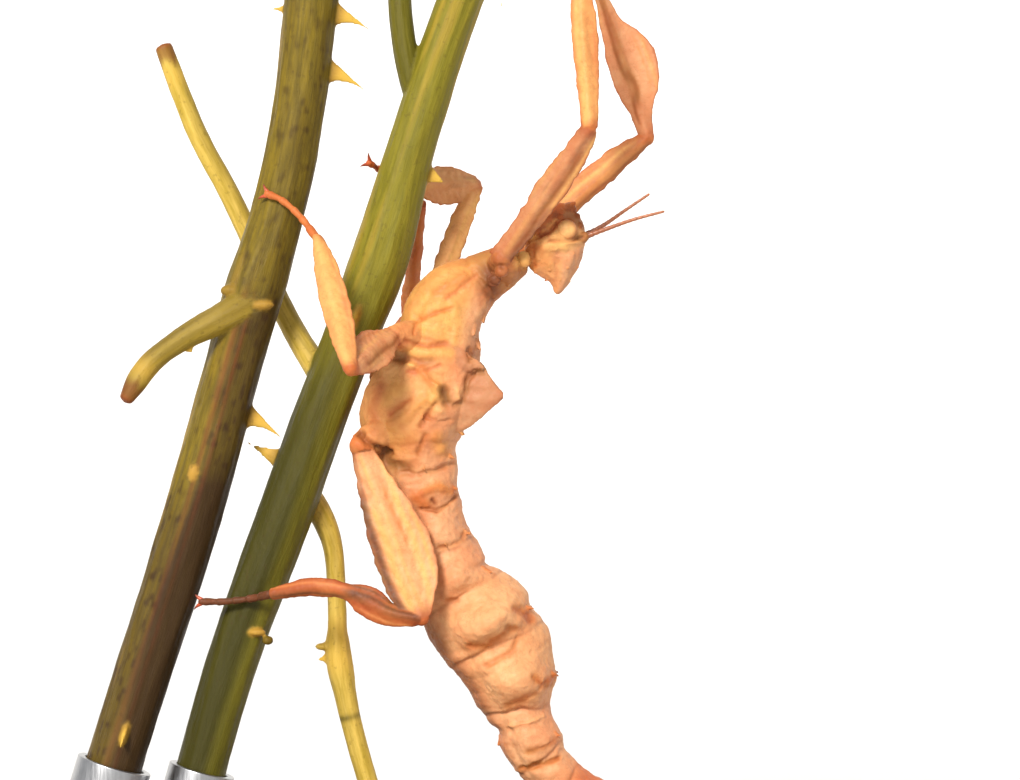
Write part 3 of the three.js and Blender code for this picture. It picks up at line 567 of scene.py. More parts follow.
def build_head(clay):
    sweep(clay, HEAD, head_section, *GRID["head"], tint=head_tint)
    for hand in (-1, 1):
        jaw = Path(*(mirrored(point, hand) for point in JAW))
        sweep(clay, jaw, round_section(JAW_RADIUS), *GRID["jaw"], tint=RUST)
        for x, z, radius, tint in HEAD_BUMPS:
            middle = mirrored(head_side_point(x, z), hand)
            ball(clay, middle, (radius, radius, radius * 1.15), tint=tint, way=(0.7, 0, 0.7))
        for root, way, size in PALPS:
            build_palp(clay, root, way, size, hand)
        for middle, radii, tint, way in HEAD_KNOBS:
            ball(clay, mirrored(middle, hand), radii, tint=tint, way=way)
        for place, count, height in CROWN:
            for i in range(count):
                degrees = (i + 0.5) / count * 180
                foot, out, along = skin_point(HEAD, head_section, place, hand * degrees)
                spike(clay, foot - out * 0.05, out - along * 0.7, height, CROWN_RADIUS, tint=CROWN_TINT,
                      sides=8)
    ball(clay, LIP["middle"], LIP["radii"], tint=CHESTNUT)


# ---------------------------------------------------------------- legs

THIN = through((0, 0.7), (0.15, 1.2), (0.4, 0.9), (1, 0.6))
# Each leg's joints, and how far the leaf of femur and tibia reaches out above and below the rib.
LEGS = {
    "front_left": dict(
        coxa=(16.6, -1, 86.4), hip=(16.1, -3.6, 87.4), knee=(27, -10, 103.3), ankle=(25.6, -7, 123.9),
        foot=[(23.4, -4.8, 128), (20, -1.4, 132.6), (18.2, -0.6, 134.6)],
        femur=(
            through((0, 1.7), (0.15, 1.4), (0.35, 1.3), (0.52, 1.6), (0.65, 1.5), (0.8, 1.2), (1, 1)),
            through((0, 1), (0.4, 1.9), (0.75, 2), (0.9, 1.6), (1, 1.1)),
        ),
        tibia=(
            through((0, 1), (0.2, 1.1), (0.6, 1.4), (0.85, 1.1), (1, 0.7)),
            through((0, 1), (0.4, 1.7), (0.7, 1.6), (1, 0.7)),
        ),
    ),
    "front_right": dict(
        coxa=(16.6, 1, 86.4), hip=(17, 3.6, 87.6), knee=(34.7, 6.4, 103.2), ankle=(27.8, 6.4, 123.9),
        foot=[(24.4, 6.6, 128.4), (20.8, 5.4, 133.2), (18.8, 5.9, 135.6)],
        femur=(
            through((0, 1), (0.4, 2.3), (0.8, 2), (1, 0.9)),
            through((0, 1), (0.4, 1.1), (0.8, 1), (1, 0.8)),
        ),
        tibia=(
            through((0, 0.9), (0.17, 1.2), (0.28, 1.8), (0.5, 1.8), (0.7, 1.2), (0.85, 0.8), (1, 0.7)),
            through((0, 0.9), (0.1, 1.3), (0.17, 2), (0.27, 3.4), (0.4, 4.2), (0.54, 4), (0.7, 1.7),
                    (0.85, 0.8)),
        ),
    ),
    "middle_left": dict(
        coxa=(6, -2, 77.8), hip=(3, -5.6, 78), knee=(-1.8, -19.2, 73.8), ankle=(-6.6, -7, 90),
        foot=[(-8.7, -4.9, 92.7), (-11.1, -3.9, 94.8), (-12.7, -3.6, 95.5)],
        femur=(
            through((0, 1), (0.45, 2.3), (0.8, 1.8), (1, 1)),
            through((0, 1.2), (0.45, 2.7), (0.8, 2), (1, 1)),
        ),
        tibia=(
            through((0, 0.9), (0.35, 1.5), (0.65, 1.4), (1, 0.5)),
            through((0, 0.9), (0.4, 1.9), (0.65, 1.8), (0.85, 1.4), (1, 0.7)),
        ),
        femur_face=(-0.64, 0.4, -0.64),
    ),
    "middle_right": dict(
        coxa=(6.6, 2, 78.6), hip=(6.5, 5.6, 80.4), knee=(12.7, 17, 97.8), ankle=(5, 8.9, 97.7),
        foot=[(4.7, 7.4, 100.5), (6, 6.3, 103.6), (7.4, 5.9, 107)],
        femur=(through((0, 0.9), (0.5, 1.4), (1, 1.1)), through((0, 0.9), (0.5, 1.4), (1, 1.1))),
        tibia=(
            through((0, 1.2), (0.4, 2.6), (0.8, 2.2), (1, 0.7)),
            through((0, 1.2), (0.4, 2.2), (0.8, 1.8), (1, 0.7)),
        ),
    ),
    "hind_left": dict(
        coxa=(2.4, -2, 66.4), hip=(-1.3, -5, 64.3), knee=(6.5, -9.6, 43.3), ankle=(-12.3, -4.2, 46),
        foot=[(-15, -2.2, 45.3), (-18.6, -1.7, 44.9), (-21, -1.6, 44.9)],
        femur=(
            through((0, 1.2), (0.25, 2.6), (0.55, 4.2), (0.8, 3.7), (1, 1.1)),
            through((0, 1.2), (0.3, 2.3), (0.58, 3), (0.86, 2.7), (1, 1)),
        ),
        tibia=(
            through((0, 0.8), (0.1, 1.4), (0.22, 1.7), (0.34, 1.9), (0.42, 1.6), (0.5, 0.9), (0.7, 1.1),
                    (1, 0.7)),
            through((0, 0.7), (0.2, 1.2), (0.34, 1.9), (0.42, 1.6), (0.5, 1.1), (0.72, 1.2), (1, 0.7)),
        ),
        tibia_bends=[(2.5, -8.6, 44), (-2.3, -7.3, 46.2), (-6.9, -6, 46.9)],
    ),
    "hind_right": dict(
        coxa=(2.4, 2, 66.8), hip=(0.2, 5.4, 66.2), knee=(3.9, 20.2, 80.5), ankle=(6, 8.2, 95),
        foot=[(3.6, 6.7, 97.2), (0.9, 5.3, 99), (-0.4, 3.2, 99.8)],
        femur=(
            through((0, 1.2), (0.3, 2.2), (0.6, 2.9), (0.85, 2), (1, 1)),
            through((0, 1.2), (0.3, 2), (0.6, 2.4), (0.85, 1.8), (1, 1)),
        ),
        tibia=(THIN, THIN),
    ),
}
RIB = through((0, 0.95), (0.5, 0.8), (1, 0.85))
BLADE = 0.3
TEETH = {"femur": (7, 0.24), "tibia": (6, 0.18)}    # teeth on each edge, and their height
STREAK = 0.6                # how pale the streaks along a leaf are
COXA_GIRTH = through((0, 2.2), (0.6, 1.9), (1, 1.4))
HIP_RADII, KNEE_RADII, PAD_RADII = (1.3, 1.3, 1.3), (0.85, 0.8, 0.95), (0.42, 0.42, 0.5)
KNEE_TINT = (0.1, 0.8, 0, 0)
FOOT_GIRTH = through((0, 0.66), (0.2, 0.5), (0.85, 0.42), (1, 0.5))
FOOT_JOINTS = 5


def leaf_section(upper, lower, seed, teeth, tooth_height):
    """A rib with a leafy blade on each edge: veined, gently waved, with a few uneven teeth."""

    def section(t, a):
        top = np.cos(a) > 0
        ring = vectors(t * teeth, np.where(top, 1.0, 5.0), 0)
        saw = (t * teeth + 0.8 * noise(ring, 1.3, seed) + 0.3 * top) % 1
        saw = np.minimum(saw / 0.7, (1 - saw) / 0.3)
        height = tooth_height * (0.6 + 0.6 * noise(ring, 0.9, seed + 1)) * np.sin(np.pi * t)**0.5
        ragged = 0.1 * noise(ring * [5, 1, 1], 1.0, seed + 3)
        reach = np.where(top, upper(t), lower(t)) + (height * saw + ragged) * np.abs(np.cos(a))**14
        wide = np.cos(a) * reach
        lift = np.abs(np.sin(a))
        ridge = (RIB(t) - BLADE) * lift * bell(wide, 0, RIB(t) * 1.2)
        inner = smoothstep(0.5, 1.2, np.abs(wide))
        turns = t * 9 + np.abs(wide) * 0.7 + 0.2 * noise(ring, 2, seed + 4)
        vein = 0.05 * np.cos(turns * 2 * np.pi) * inner
        pleat = 0.11 * noise(vectors(t * 1.6, wide * 1.15, 0), 0.8, seed + 5)
        side = np.sign(np.sin(a))
        deep = side * (BLADE * np.sqrt(lift) + ridge + (vein + pleat) * lift)
        wave = 0.14 * np.sin(t * 9 + seed) * (wide / 2.0)**2
        wave = wave + 0.16 * noise(vectors(t * 7, wide * 0.6, 0), 1.4, seed + 2)
        return wide, deep + np.clip(wave, -0.6, 0.6) * np.sin(np.pi * t)**0.5

    return section


def limb_tint(upper, lower, base, stripes, underside_shade, streak, seed):
    """Reddish at the joints, with pale streaks along the leaf, a fine brown rim, painted shade along the
    lower edge and given stripes.
    """
    base = np.array(base, float)

    def tint(t, a):
        ends = np.clip(bell(t, 0, 0.05) + bell(t, 1, 0.05), 0, 1)
        across = np.cos(a) * np.where(np.cos(a) > 0, upper(t), lower(t))
        lines = smoothstep(0.05, 0.7, noise(vectors(t * 1.6, across * 1.5, 0), 0.8, seed + 31))
        furrows = smoothstep(0.35, 0.8, noise(vectors(t * 3, across * 2.6, 0), 0.8, seed + 37))
        rim = smoothstep(0.93, 0.99, np.abs(np.cos(a)))
        dark = base[0] + 0.15 * ends + 0.22 * furrows + 0.2 * rim
        # Painted shade along the lower edge.
        dark = dark + underside_shade * smoothstep(-0.55, -0.75, np.cos(a))
        red = base[1] + 0.7 * ends + 0.5 * rim
        pale = base[2] + streak * lines * (1 - ends)
        shade = np.clip(vectors(dark, red, pale, base[3]), 0, 1)
        place = across * np.abs(np.cos(a)) + 0.25 * noise(vectors(t * 6, 0, 0), 1.0, seed + 41)
        for middle, width, start, end, stripe in stripes:
            share = bell(place, middle, width) * window(t, start - 0.05, start + 0.05, end - 0.05, end + 0.05)
            shade = shade + (np.array(stripe, float) - shade) * 0.9 * share[..., None]
        return shade

    return tint


# Stripes along a limb: place above or below the rib (mm), half width, start, end, and tint.
STRAW, BROWN, UMBER, CORAL = (0, 0, 0.8, 0.4), (0.6, 0.5, 0, 0), (1, 0.2, 0, 0), (0, 0.5, 0.2, 0.5)
STRIPES = {
    "front_left_femur": [
        (-1.2, 0.35, 0.45, 1, STRAW), (-0.45, 0.24, 0.1, 0.85, BROWN), (-1.7, 0.15, 0.3, 0.9, CORAL)],
    "front_left_tibia": [(0.3, 0.4, 0, 1, STRAW), (-1.1, 0.2, 0.1, 0.9, CORAL), (1, 0.2, 0.1, 0.9, CORAL)],
    "front_right_femur": [(-0.5, 0.25, 0.1, 1, BROWN), (0.5, 0.3, 0.3, 0.9, STRAW)],
    "front_right_tibia": [
        (0, 0.15, 0.1, 0.9, BROWN), (-1.6, 0.12, 0.2, 0.6, CORAL), (-3, 0.15, 0.3, 0.6, CORAL)],
    "middle_left_femur": [(0.3, 0.2, 0, 0.8, BROWN), (-1.4, 0.2, 0.1, 0.8, CORAL)],
    "middle_left_tibia": [(0, 0.5, 0, 1, STRAW), (-0.9, 0.15, 0.1, 0.9, CORAL)],
    # The wide umber stripe below the rib of the hind left femur is painted shade on its underside.
    "hind_left_femur": [
        (1.2, 0.45, 0.3, 0.9, STRAW), (-0.4, 0.35, 0.35, 0.95, STRAW), (2.8, 0.35, 0.4, 0.8, STRAW),
        (-1.95, 0.85, 0.25, 0.98, UMBER), (0.4, 0.16, 0.25, 0.6, CORAL)],
    "hind_left_tibia": [
        (-0.2, 0.25, 0, 0.5, UMBER), (0.9, 0.25, 0.05, 0.4, CORAL), (-1, 0.25, 0.1, 0.5, UMBER),
        (0.3, 0.25, 0.5, 1, UMBER), (-0.5, 0.2, 0.5, 1, CORAL)],
}
# Tint of femur and tibia, how much painted shade darkens the femur's lower edge, and the tint of the foot.
LEG_TINTS = {
    "front_left": ((0.26, 0.25, 0, 0.9), (0, 0.15, 0.2, 0.3), 0.25, (0.3, 0.7, 0, 0)),
    "front_right": ((0.1, 0.45, 0, 0.4), (0.08, 0.15, 0, 1), 0.25, (0.3, 0.7, 0, 0)),
    "middle_left": ((0.05, 0.2, 0, 0.8), (0, 0.15, 0.3, 0.3), 0.0, (0.05, 0.9, 0, 0)),
    # The far middle leg is painted paler, as painted light where the front stem casts its shadow on it.
    "middle_right": ((0, 0.1, 0.6, 1), (0, 0.1, 0.4, 1), 0.0, (0.05, 0.95, 0, 0)),
    # The hind left foot is dark red-brown, partly its own colour and partly painted shade.
    "hind_left": ((0, 0, 0.1, 1), (0.3, 1, 0, 0), 0.5, (1, 0.4, 0, 0)),
    "hind_right": ((0.12, 0.15, 0, 0.5), (0.1, 0.6, 0, 0.2), 0.2, (0, 1, 0, 0)),
}


def limb_path(leg, limb):
    """The middle line of a femur or tibia."""
    if limb == "femur":
        return Path(leg["hip"], leg["knee"])
    return Path(leg["knee"], *leg.get("tibia_bends", []), leg["ankle"])


def foot_path(leg):
    return Path(leg["ankle"], *leg["foot"])


def build_leaf(clay, name, limb, tint, femur_underside_shade, streak, seed):
    """The leafy femur or tibia of a leg."""
    leg = LEGS[name]
    up, down = leg[limb]
    stripes = STRIPES.get(f"{name}_{limb}", ())
    sweep(clay, limb_path(leg, limb), leaf_section(up, down, seed, *TEETH[limb]), *GRID["leaf"],
          face=leg.get(limb + "_face", FAR), tint=limb_tint(up, down, tint, stripes, femur_underside_shade, streak, seed))


def build_leg(clay, name, seed):
    leg = LEGS[name]
    femur_tint, tibia_tint, femur_underside_shade, foot_tint = LEG_TINTS[name]
    coxa_tint = (0.3, 0.6, 0, 0.2) if name.startswith("front") else (0, 0.3, 0.3, 0.5)

    def coxa_section(t, a):
        radius = COXA_GIRTH(t) + 0.18 * noise_round(a, 2, t * 2, 1.1, seed + 9)
        return radius * np.cos(a), radius * np.sin(a)

    clay.body = 1.0
    coxa = Path(leg["coxa"], leg["hip"])
    sweep(clay, coxa, coxa_section, *GRID["coxa"], face=(0.3, 0.2, 1), tint=coxa_tint)
    ball(clay, leg["hip"], HIP_RADII, tint=coxa_tint)
    clay.body = 0.0
    build_leaf(clay, name, "femur", femur_tint, femur_underside_shade, STREAK, seed)
    ball(clay, leg["knee"], KNEE_RADII, tint=KNEE_TINT)
    build_leaf(clay, name, "tibia", tibia_tint, 0, STREAK - 0.4 * tibia_tint[1], seed + 5)
    # The foot's joints swell towards the end of each, and a pad sits between the claws.
    path = foot_path(leg)
    bead = lambda t: FOOT_GIRTH(t) * (0.84 + 0.3 * ((t * FOOT_JOINTS) % 1)**1.5) * dome(t, 0.04, 0.04)
    sweep(clay, path, round_section(bead), *GRID["foot"], tint=foot_tint)
    tip, way = path.at(np.array([0.985]))[0], path.along(np.array([1.0]))[0]
    ball(clay, tip + way * 0.25, PAD_RADII, tint=foot_tint, way=way)


# ---------------------------------------------------------------- folds of the head, thorax and abdomen

# The raised brow of the eye's socket: an arc in X and Z round the eye.
EYE_X, _, EYE_Z = EYE["place"]
BROW = [(EYE_X + 1.2 * math.cos(v), EYE_Z + 1.4 * math.sin(v)) for v in np.linspace(0.9, 3, 8)]
# Soft folds: a line in X and Z, its half width, its height (below 0 is a groove), and its tint.
# Beside the skin's own red lines and pale marks, the dark share in grooves, pits and hollows and on the
# thorax's back is painted shade, and the pale share on some raised ridges is painted highlight.
FOLDS = [
    # The pit behind the middle leg, darkened with painted shade, with a pale knob in it.
    ([(2.5, 75.4), (4.2, 75.4), (5.9, 74.7), (7.6, 74.8)], 0.55, -0.4, (0.5, 0.1, 0, 0.5)),
    ([(2.9, 75.2), (4.1, 75)], 0.55, -0.2, (0.7, 0, 0, 0.2)),
    ([(4.9, 74.3), (5.3, 74.3)], 0.4, 0.5, (0, 0, 0.9, 0.4)),
    ([(5.1, 76), (7.4, 75.7), (9.8, 75.8)], 0.6, 0.14, (0, 0.1, 0.9, 0)),
    ([(4.4, 77.3), (7.1, 76.6), (9.6, 77.1)], 0.3, -0.18, (0.2, 0.6, 0, 0.2)),
    ([(6.2, 80), (8.4, 80.9), (10.1, 81.4)], 0.35, -0.25, (0, 0.75, 0, 0)),
    ([(6, 79.2), (8, 78.8)], 0.5, 0.15, (0, 0, 0.9, 0)),
    ([(5.4, 78.2), (5.6, 79.6)], 0.3, -0.2, (0, 0.6, 0, 0)),
    ([(0.3, 80.7), (1.8, 78.6), (3.6, 76.9)], 0.35, -0.1, (0.2, 0.7, 0, 0.3)),
    ([(4.6, 73.6), (6.6, 73.5), (8.6, 74.4)], 0.3, -0.15, (0.1, 0.7, 0, 0.3)),
    ([(8, 83.4), (11.5, 85.2)], 0.6, 0.2, (0, 0.35, 0.3, 0)),
    ([(9.4, 82.6), (13, 85.4)], 0.3, -0.16, (0, 0.5, 0, 0.2)),
    ([(10.2, 81.9), (10.8, 79.4), (10.4, 77.4)], 0.5, 0.18, (0, 0.1, 0.6, 0)),
    ([(14, 83.8), (13, 81), (12.8, 78), (13, 75.4)], 1.3, -0.12, (0.2, 0.1, 0, 1)),
    # The bright ridge that winds down to the pit before the hind wing bud: its pale crest is a painted
    # highlight and the pit's dark is painted shade.
    ([(6.3, 73.7), (7.1, 72.6), (8, 71.7)], 0.45, 0.4, (0, 0.6, 0.3, 0)),
    ([(8.1, 71.6), (8.2, 70.6), (7.7, 69.7)], 0.5, 0.4, (0, 0.2, 0.9, 0)),
    ([(9.2, 71), (9.6, 69.7)], 0.6, -0.6, (0.9, 0, 0, 0)),
    ([(10.7, 71.2), (10.8, 70.2)], 0.35, 0.3, (0, 0, 0.4, 0.9)),
    ([(10.4, 69.3), (11.4, 70), (11.9, 71), (12.1, 72.6), (13, 73.5), (14, 73.4)],
     0.3, -0.25, (0.6, 0.1, 0, 0.3)),
    ([(12.3, 76.2), (12.3, 74.8)], 0.35, -0.25, (0.5, 0.2, 0, 0.3)),
    ([(8, 69.6), (7.4, 68.7), (6.3, 66.8)], 0.35, -0.25, (0.4, 0.4, 0, 0)),
    ([(8.2, 68.8), (8.7, 68.6)], 0.5, 0.3, (0, 0, 0.6, 0.8)),
    ([(7.1, 67.9), (8.4, 67.3), (9.8, 67.5)], 0.3, -0.28, (0.4, 0.6, 0, 0)),
    # Swellings of the rear thorax, pale on top as painted highlights, with painted shade in the grooves.
    ([(6.8, 70.2), (4.5, 68), (2.7, 66.9)], 0.7, 0.4, (0, 0.35, 0.5, 0)),
    ([(3.4, 71.4), (1.6, 69.6)], 1.1, 0.35, (0, 0.1, 0.55, 0)),
    ([(4.8, 70), (2.4, 68.2)], 0.35, -0.2, (0.1, 0.7, 0, 0)),
    ([(1.2, 71.6), (0.2, 69), (0.6, 66.4)], 0.7, 0, (0.2, 0.5, 0, 0.4)),
    ([(9.4, 67.6), (7.6, 66), (7, 63.4)], 1.2, 0, (0.2, 0.15, 0, 0.9)),
    ([(6.8, 65.6), (6, 63.6)], 0.35, -0.3, (0.3, 0.4, 0, 0)),
    ([(8, 65.4), (8.8, 63.8)], 0.7, 0.3, (0, 0.35, 0.4, 0)),
    # The root of the hind leg, with painted shade in its grooves.
    ([(-1.7, 66.3), (-0.3, 64.8), (0.9, 64.1), (2.3, 63.5)], 0.42, -0.7, (0.9, 0.1, 0, 0)),
    ([(-2, 65), (0, 63.6)], 0.8, 0.3, (0, 0.7, 0.1, 0)),
    ([(1.3, 63.4), (2, 62.1), (4.6, 61.6)], 0.75, -0.5, (0.75, 0, 0, 0)),
    ([(3.6, 61), (6, 60.9), (8, 61.3), (10, 62.1)], 0.3, -0.3, (0.3, 0.15, 0, 0.6)),
    # Front part of the abdomen.
    ([(6.5, 58.6), (8.4, 59.3), (9.9, 58.6)], 0.5, 0.3, (0, 0.7, 0.2, 0)),
    ([(5.8, 57.8), (6.8, 57.1)], 0.7, 0.25, (0, 0.8, 0, 0)),
    ([(7.7, 57.6), (7.9, 57.3)], 0.34, -0.35, (0.9, 0.9, 0, 0)),
    ([(6.4, 56.5), (8.2, 56.4), (9.6, 57.1), (10.5, 58)], 0.25, -0.32, (0.4, 0.3, 0, 0.4)),
    ([(8.8, 51.7), (10, 52), (11.3, 52.6), (11.8, 53.7)], 0.3, -0.22, (0.12, 0.2, 0, 0.6)),
    ([(9.6, 45.2), (10.8, 45.3)], 0.3, -0.15, (0.3, 0.3, 0, 0.3)),
    # The two big segments, with red hooks at the lobes' hind corners.
    ([(18, 44.3), (19.4, 43.3), (19.8, 42.6)], 0.45, -0.25, (0.2, 0.75, 0, 0)),
    ([(16.9, 42.1), (17.3, 41.8)], 0.4, -0.2, (0.45, 0.3, 0, 0.3)),
    ([(15, 40.3), (16.4, 41.1), (17.9, 41.7)], 0.4, -0.22, (0.15, 0.45, 0, 0.3)),
    ([(12.3, 39.7), (14.6, 39.6)], 0.5, -0.2, (0.1, 0.5, 0, 0)),
    ([(14.5, 37.3), (15.9, 38.1), (17.7, 39.2), (18.1, 40.6)], 0.38, -0.2, (0.12, 0.35, 0, 0.4)),
    ([(20.3, 35.9), (21.3, 34.9), (22.7, 35.4), (23.2, 36)], 0.45, -0.25, (0.1, 0.8, 0, 0)),
    ([(21.7, 34.5), (22.3, 34.6)], 0.3, -0.15, (0.3, 0.5, 0, 0)),
    ([(17, 32.3), (18.6, 32.9), (20.3, 33.6)], 0.5, -0.16, (0, 0.5, 0, 0.4)),
    # Towards the tail.
    ([(17, 29.6), (19.4, 30), (21.3, 30.7)], 0.3, 0.25, (0, 0, 0.2, 1)),
    ([(19.5, 26.4), (21.1, 26.9), (22.7, 27.7)], 0.35, -0.16, (0.15, 0.5, 0, 0.3)),
    ([(20.2, 24.8), (20.9, 24.9)], 0.4, -0.2, (0.6, 0.3, 0, 0)),
    ([(18.6, 24.2), (21.5, 24.8), (23.3, 25.5)], 0.28, -0.25, (0.25, 0.7, 0, 0)),
    # Head: the furrow over the eye, the one below it, and those round the pale plate, with painted shade in
    # the furrows.
    ([(18.8, 89.3), (20, 90), (21, 90.4), (22.2, 90.9), (23.1, 91.9)], 0.25, -0.35, (0.4, 0.9, 0, 0)),
    ([(22.2, 89.8), (23.8, 89.7), (25.2, 89.9), (26.3, 90.3)], 0.22, -0.3, (0.35, 0.75, 0, 0)),
    ([(20.1, 89.3), (20.2, 86.8)], 0.35, -0.22, (0, 0.85, 0, 0)),
    ([(18.6, 89), (21.2, 88.9)], 0.4, 0.1, (0, 0.85, 0, 0)),
    ([(18.6, 88.1), (19, 87)], 0.7, 0.12, (0, 0, 1, 0)),
    ([(18.4, 87.6), (18.2, 86.7)], 0.5, 0, (0, 0.1, 0.8, 0)),
    ([(22.9, 90.4), (24.8, 90.1)], 0.6, 0.1, (0, 0, 0.7, 0.8)),
    ([(24.6, 90.4), (26, 90.2)], 0.4, -0.05, (0.7, 0.2, 0, 0.2)),
    ([(19.7, 90.5), (20, 90.3)], 0.5, 0.1, (0, 0, 1, 0)),
    ([(21.8, 89.1), (24, 89)], 0.45, 0.14, (0, 0, 0.8, 0.8)),
    ([(20.9, 88), (22.2, 86.9)], 0.8, 0.1, (0, 0.35, 0.5, 0.5)),
    ([(23.2, 88), (24.6, 87.9)], 0.5, 0.12, (0, 0.2, 0, 1)),
    ([(22.9, 87.4), (23.1, 85.2)], 0.3, -0.15, (0.1, 0.2, 0, 0.6)),
    # Neck: the dark hollow is painted shade.
    ([(14.6, 86), (14.7, 84.6), (15, 83.4)], 1, -0.2, (0.95, 0.5, 0, 0)),
    ([(16.1, 86.6), (16.3, 86.4)], 0.35, -0.2, (0.8, 0.6, 0, 0)),
    ([(17.6, 85.4), (18.6, 85.6)], 0.8, 0.05, (0.6, 0.4, 0, 0.3)),
    ([(16.9, 88), (18, 88.6), (19.1, 89.4)], 0.3, -0.4, (0.7, 0.5, 0, 0)),
    ([(16.6, 85.2), (18.2, 85.4)], 0.7, 0, (0.35, 0.3, 0, 0.3)),
    (BROW, 0.24, 0.14, (0.35, 0.8, 0, 0)),
]


def near_line(points, line):
    """Distance of each point to a line in the X-Z plane."""
    best = np.full(len(points), 1e9)
    flat = points[:, [0, 2]]
    for a, b in zip(line[:-1], line[1:]):
        a, b = np.array(a, float), np.array(b, float)
        s = np.clip((flat - a) @ (b - a) / ((b - a) @ (b - a)), 0, 1)
        best = np.minimum(best, np.linalg.norm(flat - a - s[:, None] * (b - a), axis=1))
    return best


def fold_skin(points, normals, tints, body):
    """Presses the folds into both flanks of the body."""
    flank = smoothstep(0.15, 0.55, np.abs(normals[:, 1])) * smoothstep(0.3, 0.8, body)
    wander = 0.16 * noise(points, 1.1, 47) + 0.08 * noise(points, 0.5, 48)
    # Where the folds' tints reach: painted shade in grooves and hollows, painted highlights on ridges, and
    # the skin's own marks.
    shade_and_marks = smoothstep(0.02, 0.3, np.abs(normals[:, 1])) * smoothstep(0.3, 0.8, body)
    push = np.zeros(len(points))
    for line, width, height, tint in FOLDS:
        away = np.clip(near_line(points, line) + wander, 0, None)
        push += height * bell(away, 0, width) * flank
        share = 0.9 * bell(away, 0, width * 1.2) * shade_and_marks
        tints = tints + (np.array(tint) - tints) * share[:, None]
    return points + normals * push[:, None], tints


# ---------------------------------------------------------------- one skin

# Shares by which points are drawn in and pushed back out, which evens a skin but keeps its size.
SHRINK, GROW, LAST_SHRINK = 0.5, -0.45, 0.35
PAINT_PASSES = 3


def relaxer(edges, count):
    """A function that draws values towards the mean of their neighbours."""
    a, b = edges.reshape(-1, 2).T
    degree = np.maximum(np.bincount(a, minlength=count) + np.bincount(b, minlength=count), 1)

    def relax(values, share):
        mean = np.stack([
            np.bincount(a, values[b, k], count) + np.bincount(b, values[a, k], count)
            for k in range(values.shape[1])], -1) / degree[:, None]
        return values + (mean - values) * share

    return relax


def nearest_paint(clay, points):
    """The paint of the shell point nearest to each point."""
    source = np.vstack(clay.points)
    tree = kdtree.KDTree(len(source))
    for i, point in enumerate(source.tolist()):
        tree.insert(point, i)
    tree.balance()
    return np.vstack(clay.paint)[[tree.find(point)[1] for point in points.tolist()]]


def read(layer, name, width, kind=float):
    values = np.empty(len(layer) * width, kind)
    layer.foreach_get(name, values)
    return values.reshape(-1, width)


def write_paint(mesh, tints, grain):
    for name, kind, key, values in (
            ("tint", "FLOAT_COLOR", "color", tints), ("grain", "FLOAT_VECTOR", "vector", grain)):
        layer = mesh.attributes.new(name, kind, "POINT")
        layer.data.foreach_set(key, np.ascontiguousarray(values, dtype=np.float32).ravel())


def add_object(name, data):
    thing = bpy.data.objects.new(name, data)
    bpy.context.scene.collection.objects.link(thing)
    return thing


def link(name, mesh):
    mesh.shade_smooth()
    return add_object(name, mesh)


def fuse(name, clay, voxel, passes, detail):
    """Fuses shells into one skin, carries the paint over and adds the detail. In metres."""
    raw = link(name + "_raw", clay.mesh(name + "_raw"))
    remesh = raw.modifiers.new("fuse", "REMESH")
    remesh.mode, remesh.voxel_size, remesh.use_smooth_shade = "VOXEL", voxel, True
    mesh = bpy.data.meshes.new_from_object(raw.evaluated_get(bpy.context.evaluated_depsgraph_get()))
    bpy.data.objects.remove(raw)
    points = read(mesh.vertices, "co", 3)
    relax = relaxer(read(mesh.edges, "vertices", 2, np.int64), len(points))
    paint = nearest_paint(clay, points)
    for _ in range(passes):
        points = relax(relax(points, SHRINK), GROW)
    points = relax(points, LAST_SHRINK)
    for _ in range(PAINT_PASSES):
        paint = relax(paint, SHRINK)
    mesh.vertices.foreach_set("co", points.ravel())
    mesh.update()
    normals = read(mesh.vertex_normals, "vector", 3)
    points, tints = detail(points, normals, paint[:, :4], paint[:, 7])
    mesh.vertices.foreach_set("co", (points * MM).ravel())
    mesh.update()
    write_paint(mesh, np.clip(tints, 0, 1), paint[:, 4:7])
    return link(name, mesh)


def skin_detail(points, normals, tints, body):
    """The folds, and a fine grain with a crinkle on the body."""
    points, tints = fold_skin(points, normals, tints, body)
    crinkle = 1 - 2 * np.abs(noise(points, 0.9, 44))
    grain = 0.035 * noise(points, 0.55, 41) + 0.022 * noise(points, 0.3, 42) + 0.05 * noise(points, 1.4, 43)
    grain = grain + 0.05 * crinkle * body
    return points + normals * grain[:, None], tints


# ---------------------------------------------------------------- materials

